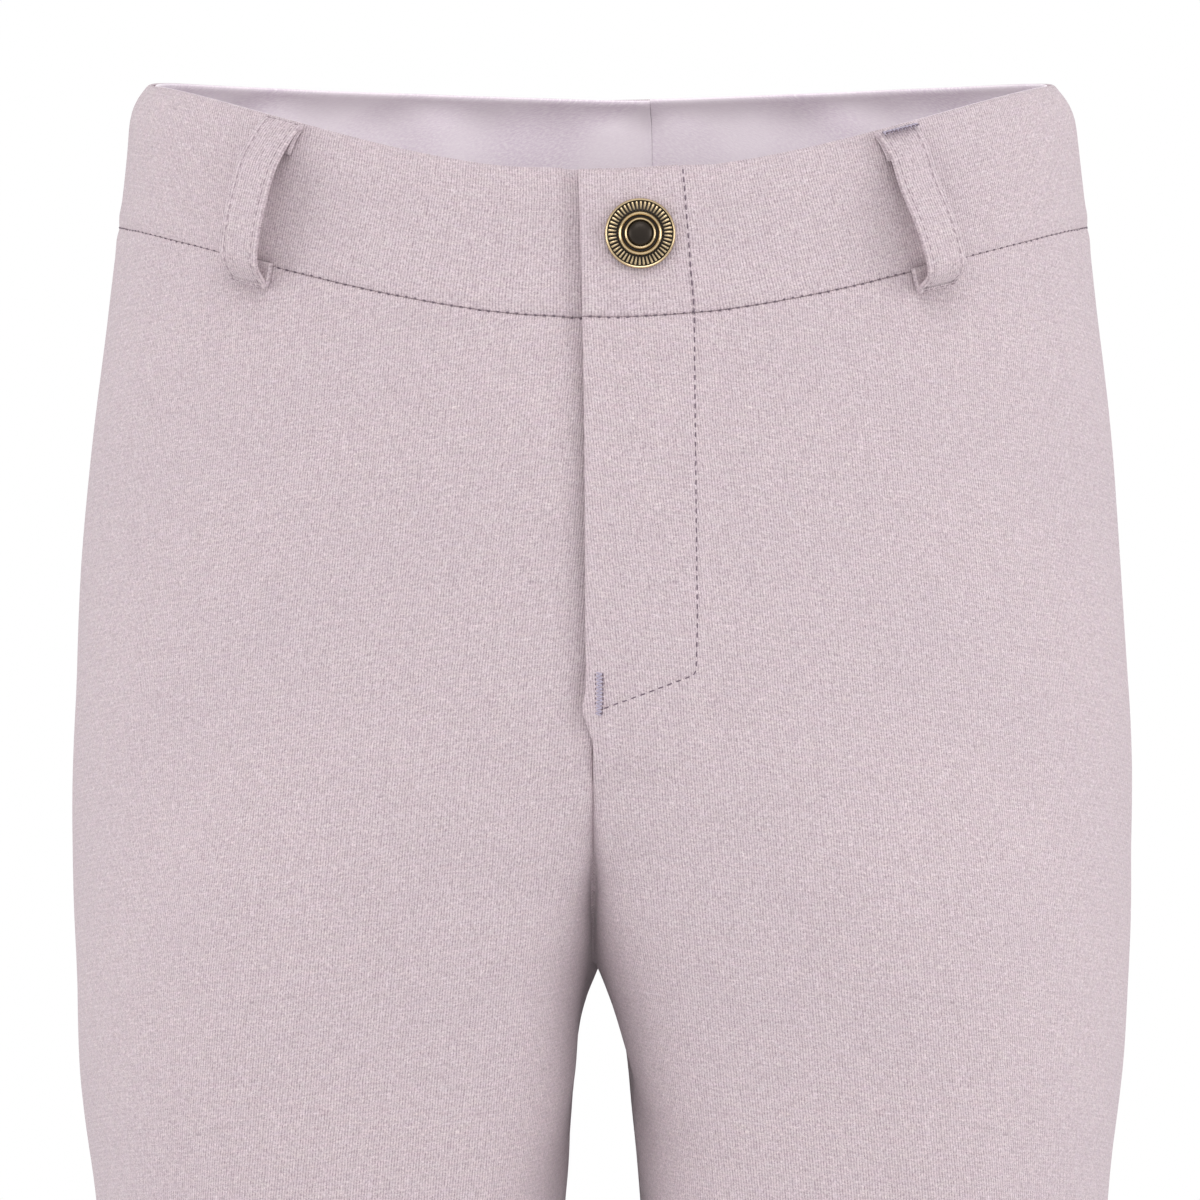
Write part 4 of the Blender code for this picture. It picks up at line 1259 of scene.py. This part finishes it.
def floor_finish():
    """A plain pale floor with a slight unevenness."""
    light = bpy.context.scene.jodhpurs_stage.floor_colour
    dark = tuple(channel * 0.97 for channel in light)
    f = Finish("studio_floor")
    f.shade(Base_Color=f.mix(f.noise(f.node("TexCoord", output=3), 3.0), light, dark), Roughness=0.7)
    return f.material


def ensure_finishes():
    """Make the materials once, before the first piece that wears them; those of the frame step aside."""
    threads = bpy.context.scene.jodhpurs_thread
    if "tack_thread" in bpy.data.materials:
        return
    for material in list(bpy.data.materials):
        material.name = "cad_" + material.name
    knit_finish()
    satin_finish()
    brass_finish()
    # the seam thread is darkened with painted shade of its needle holes
    thread_finish("seam_thread_and_shade", threads.seam_thread_and_shade_colour)
    thread_finish("matching_thread", threads.matching_colour)
    thread_finish("tack_thread", threads.tack_colour)


# ---- button --------------------------------------------------------------------------------------

def button_matrix():
    """Stands a piece on the band: its Z outward, its origin on the band's cloth."""
    around = -1 + BUTTON_FROM_CENTRE / FRONT_LENGTH
    point, normal = (values.reshape(3) for values in form(BUTTON_DOWN, around, 1))
    point = (point + normal * LAP_LIFT) * MM
    across = place(BUTTON_DOWN, around + STEP_AROUND) - place(BUTTON_DOWN, around - STEP_AROUND)
    across = unit(across.reshape(3))
    matrix = Matrix(np.stack([across, np.cross(normal, across), normal], axis=1).tolist()).to_4x4()
    matrix.translation = Vector(point.tolist())
    return matrix


def stand_on_band(thing):
    """Move a piece from its own frame to its place on the band."""
    thing.matrix_world = button_matrix()
    select_only(thing)
    bpy.ops.object.transform_apply()


def model_cap():
    """The button's cap with its rings and ribs, and the post behind it."""
    radius, height = CAP[0]
    back = SEAM_GAP
    button = primitive(bpy.ops.mesh.primitive_cylinder_add, vertices=CAP_SIDES, radius=radius * MM,
                       depth=(height - back) * MM, location=(0, 0, (height + back) / 2 * MM))
    select_faces(button, lambda face: face.normal.z > 0.9)
    for next_radius, next_height in CAP[1:]:
        extrude(0, 0, (next_height - height) * MM)
        size = next_radius / radius
        bpy.ops.transform.resize(value=(size, size, 1))
        radius, height = next_radius, next_height
    bpy.ops.mesh.poke()
    select_faces(button, lambda face: face.normal.z < -0.9)
    bpy.ops.mesh.inset(thickness=(CAP[0][0] - POST_RADIUS) * MM)
    extrude(0, 0, (PLATE_TOP - SEAM_GAP - PLATE_THICKNESS - back) * MM)
    bpy.ops.object.mode_set(mode="OBJECT")
    ribs = model_ribs()
    select_only(ribs, button)
    bpy.ops.object.join()
    bpy.ops.object.shade_smooth_by_angle(angle=SMOOTH_BELOW)
    polish_cap(button)
    return button


def model_ribs():
    """The cap's ring of ribs: one rounded rib, narrower towards the middle, repeated all round."""
    rib = primitive(bpy.ops.mesh.primitive_cube_add, size=1.0)
    size = (RIB_TO - RIB_FROM, RIB_WIDTH, RIB_TOP - RIB_FOOT)
    middle = ((RIB_TO + RIB_FROM) / 2, 0, (RIB_TOP + RIB_FOOT) / 2)
    bpy.ops.transform.resize(value=[value * MM for value in size])
    bpy.ops.transform.translate(value=[value * MM for value in middle])
    bpy.ops.object.transform_apply()
    select_faces(rib, lambda face: face.normal.x < -0.9)
    bpy.ops.transform.resize(value=(1, RIB_TAPER, 1))
    bpy.ops.object.mode_set(mode="OBJECT")
    round_edges(rib, RIB_ROUNDING)
    ribs = [rib]
    for _ in range(RIBS - 1):
        bpy.ops.object.duplicate()
        bpy.ops.transform.rotate(value=math.tau / RIBS, orient_axis="Z", center_override=(0, 0, 0))
        ribs.append(bpy.context.object)
    for each in ribs:
        each.select_set(True)
    bpy.ops.object.join()
    bpy.ops.object.transform_apply()
    return bpy.context.object


def polish_cap(button):
    """Store how much each point of the cap is rubbed bright: its rim, rings and ribs."""
    points = np.array([vert.co for vert in button.data.vertices]) / MM
    from_axis, height = np.hypot(points[:, 0], points[:, 1]), points[:, 2]
    on_ribs = ease(height, 1.3, 1.55) * (0.45 + 0.55 * ease(from_axis, RIB_FROM, 7.0))
    bright = np.where(from_axis > RIB_FROM, on_ribs, ease(height, 1.4, 1.85))
    bright = np.where(from_axis > RIB_TO + 0.2, ease(height, 0.3, 0.8), bright)
    store(button, "polish", np.where(from_axis < 3.0, 0.0, bright))


def model_plate():
    """The ring plate that holds the post behind both laps."""
    plate = primitive(bpy.ops.mesh.primitive_cylinder_add, vertices=64, radius=PLATE_RADIUS * MM,
                      depth=PLATE_THICKNESS * MM, location=(0, 0, (PLATE_TOP - PLATE_THICKNESS / 2) * MM))
    select_faces(plate, lambda face: abs(face.normal.z) > 0.9)
    bpy.ops.mesh.inset(thickness=(PLATE_RADIUS - POST_HOLE_RADIUS) * MM)
    bpy.ops.mesh.bridge_edge_loops()
    bpy.ops.object.mode_set(mode="OBJECT")
    face_outwards(plate)
    round_edges(plate, PLATE_ROUNDING)
    bpy.ops.object.shade_smooth_by_angle(angle=SMOOTH_BELOW)
    return plate


# ---- settings ------------------------------------------------------------------------------------

def number(name, description, default, **limits):
    return bpy.props.FloatProperty(name=name, description=description, default=default, **limits)


def colour(name, description, default):
    return bpy.props.FloatVectorProperty(name=name, description=description, default=default,
                                         subtype="COLOR", min=0.0, max=1.0)


# What each kind of number has in common
LENGTH = {"min": 0.0001, "unit": "LENGTH"}
SHARE = {"min": 0.0, "max": 1.0, "subtype": "FACTOR"}
POWER = {"min": 0.0, "unit": "POWER"}


class JODHPURS_PG_cloth(bpy.types.PropertyGroup):
    """The knitted cloth."""

    light_colour: colour("Light yarn", "Colour of the lighter flecks", (0.92, 0.80, 0.82))
    shade_colour: colour("Dark yarn", "Colour of the darker flecks", (0.62, 0.515, 0.55))
    mottle_colour: colour("Mottle", "Colour of the slow patches", (0.63, 0.55, 0.60))
    # colour of the painted shade between the stitches, and of the yarn's dark dashes
    dash_and_stitch_shade_colour: colour("Between stitches", "Colour down between the stitches", (0.30, 0.23, 0.26))
    # colour of the painted shade along the edges
    edge_shade_colour: colour("Painted edge shade", "Colour of the knit at its edges", (0.52, 0.42, 0.45))
    wale_width: number("Wale width", "Width of one column of stitches", 0.00064, **LENGTH)
    course_height: number("Course height", "Height of one row of stitches", 0.00052, **LENGTH)
    # strength of the painted shade between the stitches
    relief: number("Knit relief", "How dark it is between the stitches", 0.46, **SHARE)
    fleck: number("Flecks", "How much single stitches differ", 0.5, **SHARE)
    speckle: number("Speckle", "How dark the fine specks of the yarn are", 1.0, **SHARE)
    hue_change: number("Heather", "How much the yarn's hue changes", 0.04, **SHARE)
    crease_depth: number("Creases", "Depth of the creases, 1 as worn", 1.0, **{**SHARE, "max": 2.0})


class JODHPURS_PG_facing(bpy.types.PropertyGroup):
    """The satin facing of the waistband."""

    # colour of the satin's lighter threads, and of its painted sheen
    light_colour: colour("Light", "Colour where the satin shines", (1.0, 0.91, 0.97))
    shade_colour: colour("Dark", "Colour of its darker threads", (0.78, 0.65, 0.77))


class JODHPURS_PG_thread(bpy.types.PropertyGroup):
    """The sewing thread."""

    # partly the thread's own colour, partly painted shade of the needle holes it sinks into
    seam_thread_and_shade_colour: colour("Seam thread", "Colour of the rows of stitches", (0.16, 0.11, 0.15))
    matching_colour: colour("Matching thread", "Colour of the rows that hardly show", (0.40, 0.31, 0.35))
    tack_colour: colour("Tack thread", "Colour of the dense tacks", (0.50, 0.44, 0.56))
    pitch: number("Stitch pitch", "Distance from stitch to stitch", 0.0022, **LENGTH)
    length: number("Stitch length", "Length of the thread that shows", 0.0015, **LENGTH)
    thickness: number("Thread", "Thickness of the thread", 0.00034, **LENGTH)


class JODHPURS_PG_button(bpy.types.PropertyGroup):
    """The waist button."""

    brass_colour: colour("Brass", "Colour where it is rubbed bright", (0.62, 0.48, 0.29))
    patina_colour: colour("Patina", "Colour in its recesses", (0.03, 0.023, 0.018))


class JODHPURS_PG_stage(bpy.types.PropertyGroup):
    """Floor, light and camera."""

    floor_colour: colour("Floor", "Colour of the floor", (0.86, 0.86, 0.86))
    surround: number("Surround", "Strength of the white surroundings", 0.75, min=0.0)
    high_power: number("High light", "Power of the light overhead", 3.0, **POWER)
    front_power: number("Front light", "Power of the light high in front", 12.5, **POWER)
    key_power: number("Key light", "Power of the light in front on the right", 4.5, **POWER)
    fill_power: number("Fill light", "Power of the light in front on the left", 3.0, **POWER)
    side_power: number("Side lights", "Power of the lights at the sides", 12.0, **POWER)


# ---- stage ---------------------------------------------------------------------------------------

def build_floor():
    """The floor, well below the hems and only a few metres across."""
    floor = primitive(bpy.ops.mesh.primitive_plane_add, size=FLOOR_SIZE, location=(0, 0, FLOOR_HEIGHT))
    floor.name = "floor"
    floor.data.materials.append(floor_finish())


def build_surround(strength):
    """White surroundings, which light the object less than they shine themselves."""
    world = bpy.data.worlds.new("surround")
    world.use_nodes = True
    nodes, links = world.node_tree.nodes, world.node_tree.links
    background = nodes["Background"]
    background.inputs["Color"].default_value = (1, 1, 1, 1)
    seen = nodes.new("ShaderNodeLightPath").outputs["Is Camera Ray"]
    level = nodes.new("ShaderNodeMapRange")
    level.inputs["To Min"].default_value = strength
    level.inputs["To Max"].default_value = 1.0
    links.new(seen, level.inputs["Value"])
    links.new(level.outputs[0], background.inputs["Strength"])
    bpy.context.scene.world = world


def add_light(name, location, size, power):
    """A square softbox aimed at the hips."""
    light = bpy.data.lights.new(name, "AREA")
    light.size, light.energy = size, power
    thing = bpy.data.objects.new(name, light)
    thing.location = location
    thing.rotation_euler = (LIGHT_TARGET - Vector(location)).to_track_quat("-Z", "Y").to_euler()
    bpy.context.scene.collection.objects.link(thing)


def build_camera():
    """A long lens level with the fly, straight in front."""
    camera = bpy.data.cameras.new("camera")
    camera.sensor_width = SENSOR_WIDTH
    camera.lens = SENSOR_WIDTH * CAMERA_DISTANCE / CAMERA_FRAME
    thing = bpy.data.objects.new("camera", camera)
    thing.location = (CAMERA_SIDE, -CAMERA_DISTANCE, CAMERA_HEIGHT)
    thing.rotation_euler = (math.pi / 2, 0, 0)
    bpy.context.scene.collection.objects.link(thing)
    bpy.context.scene.camera = thing


# ---- rows of stitches ----------------------------------------------------------------------------

def sew_waist_seam(needle):
    """The waist seam's stitches, round the whole waist, in a row that wanders a little."""
    for side, half in HALVES:
        start = -1 - half * LAP / FRONT_LENGTH
        around = np.concatenate([np.linspace(start, 0.0, SEAM_SAMPLES)[:-1],
                                 np.linspace(0.0, 1.0, SEAM_SAMPLES)])
        wander = 0.12 * np.sin(around * 37.0) + 0.08 * np.sin(around * 83.0 + 1.0)
        points, normals = cloth(BAND_HEIGHT + wander, around, half)
        # short dark dots: thread, with painted shade of the needle holes where the stitches pull
        stitches = running(points - normals * 0.05, normals, needle.pitch, needle.length * 0.5)
        needle.sew(f"waist_seam_stitches_{side}", stitches, 0.9, "seam_thread_and_shade")


def sew_fly(needle):
    """The fly's stitching and the tack at its foot."""
    down, around = fly_stitch_path()
    points, normals = cloth(down, around, 1)
    on_band = 1 - ease(down, BAND_HEIGHT, BAND_HEIGHT + 4)
    points = points + normals * (FLY_STITCH_RISE * on_band)[:, None]
    # the dark stitches carry painted shade of their sunk needle holes
    stitches = running(points, normals, needle.pitch, needle.length)
    needle.sew("fly_stitches", stitches, 1.0, "seam_thread_and_shade")
    between = running(points - normals * SUNK, normals, needle.pitch, needle.pitch)
    needle.sew("fly_thread_between", between, 0.6, "matching_thread")
    foot = FLY_FOOT_DOWN + TACK_BELOW_FOOT
    down = np.linspace(foot - TACK_HEIGHT, foot, 24)
    from_centre = TACK_FROM_CENTRE + SEAM_DRIFT * ease(down, *SEAM_DRIFT_STARTS)
    points, normals = cloth(down, -1 + from_centre / quarter_length(down, "front"), 1)
    needle.sew("fly_tack", zigzag(points, normals, TACK_WIDTH), 1.1, "tack_thread")
    across = unit(np.cross(normals, np.gradient(points, axis=0))) * TACK_WIDTH / 2
    edges = running(points + across, normals, 1.1, 0.9) + running(points - across, normals, 1.0, 0.8)
    foot_bar = np.linspace(points[-2] - 1.2 * across[-1], points[-2] + 1.5 * across[-1], 4)
    edges += running(foot_bar, np.tile(normals[-1], (4, 1)), 0.9, 0.8)
    needle.sew("fly_tack_edges", edges, 0.85, "seam_thread_and_shade")


def sew_loops(needle):
    """Two rows of stitches down each belt loop, and a tack or a row across its ends."""
    rows, tacks, outlines = [], [], []
    top = LOOP_THICKNESS / 2
    sides = np.array([(a, t) for a in (-LOOP_SEAM, LOOP_SEAM) for t in (top - 0.15, top + 0.85)])
    ends = np.array([(-LOOP_TACK_REACH, top), (LOOP_TACK_REACH, top), (0.0, top + 1.0)])
    for name, *where in LOOPS:
        frames = loop_frames(*where, sides)[LOOP_ROW_STEPS]
        for k in (0, 2):
            points, above = frames[:, k], frames[:, k + 1]
            rows += running(points, unit(above - points), needle.pitch * 1.1, needle.length * 1.1)
        for step in LOOP_TACK_STEPS:
            left, right, above = loop_frames(*where, ends)[step]
            path = np.linspace(left, right, TACK_SAMPLES)
            normals = np.tile(unit(above - (left + right) / 2), (TACK_SAMPLES, 1))
            if step > 0 and name == "loop_front_left":
                downward = unit(np.cross(normals, right - left)) * TACK_WIDTH
                downward = downward * -np.sign(downward[..., 2:3])
                path = path + downward * 1.5
                tacks += zigzag(path, normals, TACK_WIDTH * 1.2)
                for side in (-0.6, 0.6):
                    outlines += running(path + downward * side, normals, 1.1, 0.9)
            else:
                rows += running(path, normals, 1.5, 1.1)
    needle.sew("loop_stitches", rows, 0.75, "matching_thread")
    needle.sew("loop_tack", tacks, 1.1, "tack_thread")
    needle.sew("loop_tack_edges", outlines, 0.85, "seam_thread_and_shade")


def sew_hems(needle):
    """The hems' stitches, round each leg."""
    for side, half in HALVES:
        points, normals = cloth(HEM_STITCH_DOWN, np.linspace(-1.0, 1.0, HEM_SAMPLES), half)
        needle.sew(f"hem_stitches_{side}", running(points, normals, 2.8, 2.0), 1.0, "seam_thread_and_shade")


# ---- operators -----------------------------------------------------------------------------------

class JODHPURS_OT_panels(bpy.types.Operator):
    """Model the four leg panels"""

    bl_idname = "jodhpurs.panels"
    bl_label = "Leg panels"

    def execute(self, context):
        ensure_finishes()

        def left_edge(down):
            return -lap_at(down) * (1 - ease(down, FLY_END, FLY_EDGE_SETTLED))

        def right_edge(down):
            return -FLY_UNDERLAP * (1 - ease(down, UNDERLAP_END, UNDERLAP_SETTLED))

        for end, side, half, *cut in (
                ("front", "left", 1, left_edge, FLY_PANEL_ROWS, FLY_COLUMNS),
                ("front", "right", -1, right_edge, PANEL_ROWS),
                ("back", "left", 1, lambda down: 0.0, PANEL_ROWS),
                ("back", "right", -1, lambda down: 0.0, PANEL_ROWS)):
            panel, outer = build_panel(f"{end}_{side}_panel", half, end, *cut)
            declare(panel, f"{end}_{side}")
            declare_sheet(outer)
        return {"FINISHED"}


class JODHPURS_OT_waistband(bpy.types.Operator):
    """Model the waistband and its satin facing"""

    bl_idname = "jodhpurs.waistband"
    bl_label = "Waistband"

    def execute(self, context):
        ensure_finishes()
        for side, half, start in (("left", 1, -LAP), ("right", -1, -BAND_UNDERLAP)):
            band, outer = build_band(f"waistband_{side}_cloth", half, start)
            declare(band, f"waistband_{side}")
            declare_sheet(outer)
        for side, half, start in (("left", 1, LAP_FULL_TO), ("right", -1, -BAND_UNDERLAP)):
            back_reach = -half * FACING_JOIN - HALF_GAP
            facing, inner = build_facing(f"facing_{side}_satin", half, start, back_reach)
            declare(facing, f"facing_{side}")
            declare_sheet(inner)
        return {"FINISHED"}


class JODHPURS_OT_belt_loops(bpy.types.Operator):
    """Model the five belt loops"""

    bl_idname = "jodhpurs.belt_loops"
    bl_label = "Belt loops"

    def execute(self, context):
        ensure_finishes()
        for loop in LOOPS:
            build_loop(*loop)
        return {"FINISHED"}


class JODHPURS_OT_button(bpy.types.Operator):
    """Model the button and its back plate"""

    bl_idname = "jodhpurs.button"
    bl_label = "Button"

    def execute(self, context):
        ensure_finishes()
        for model, node, name in ((model_cap, "button", "waist_button"),
                                  (model_plate, "button_back", "button_plate")):
            thing = model()
            thing.name = name
            stand_on_band(thing)
            thing.data.materials.append(bpy.data.materials["antique_brass"])
            declare(thing, node)
        return {"FINISHED"}


class JODHPURS_OT_stitching(bpy.types.Operator):
    """Sew the rows of stitches and the tacks"""

    bl_idname = "jodhpurs.stitching"
    bl_label = "Stitching"

    def execute(self, context):
        ensure_finishes()
        needle = Needle()
        sew_waist_seam(needle)
        sew_fly(needle)
        sew_loops(needle)
        sew_hems(needle)
        return {"FINISHED"}


class JODHPURS_OT_stage(bpy.types.Operator):
    """Make the floor, the surroundings, the lights and the camera"""

    bl_idname = "jodhpurs.stage"
    bl_label = "Stage"

    def execute(self, context):
        settings = context.scene.jodhpurs_stage
        build_floor()
        build_surround(settings.surround)
        for name, location, size, power, share in LIGHTS:
            add_light(name, location, size, getattr(settings, power) * share)
        build_camera()
        context.scene.view_settings.view_transform = "Standard"
        return {"FINISHED"}


class JODHPURS_PT_panel(bpy.types.Panel):
    """Settings and steps of the jodhpurs"""

    bl_idname = "JODHPURS_PT_panel"
    bl_label = "Jodhpurs"
    bl_space_type = "VIEW_3D"
    bl_region_type = "UI"
    bl_category = "Jodhpurs"

    def draw(self, context):
        for group in SETTINGS:
            box = self.layout.box()
            settings = getattr(context.scene, group)
            for name in settings.bl_rna.properties.keys():
                if name not in ("rna_type", "name"):
                    box.prop(settings, name)
        for operator in OPERATORS:
            self.layout.operator(operator.bl_idname)


SETTINGS = {
    "jodhpurs_cloth": JODHPURS_PG_cloth,
    "jodhpurs_facing": JODHPURS_PG_facing,
    "jodhpurs_thread": JODHPURS_PG_thread,
    "jodhpurs_button": JODHPURS_PG_button,
    "jodhpurs_stage": JODHPURS_PG_stage,
}
OPERATORS = (JODHPURS_OT_panels, JODHPURS_OT_waistband, JODHPURS_OT_belt_loops, JODHPURS_OT_button,
             JODHPURS_OT_stitching, JODHPURS_OT_stage)
CLASSES = (*SETTINGS.values(), *OPERATORS, JODHPURS_PT_panel)


def register():
    for each in CLASSES:
        bpy.utils.register_class(each)
    for name, group in SETTINGS.items():
        setattr(bpy.types.Scene, name, bpy.props.PointerProperty(type=group))


def unregister():
    for name in SETTINGS:
        delattr(bpy.types.Scene, name)
    for each in reversed(CLASSES):
        bpy.utils.unregister_class(each)


def main():
    register()
    bpy.ops.jodhpurs.panels()
    bpy.ops.jodhpurs.waistband()
    bpy.ops.jodhpurs.belt_loops()
    bpy.ops.jodhpurs.button()
    bpy.ops.jodhpurs.stitching()
    bpy.ops.jodhpurs.stage()


if __name__ == "__main__":
    main()
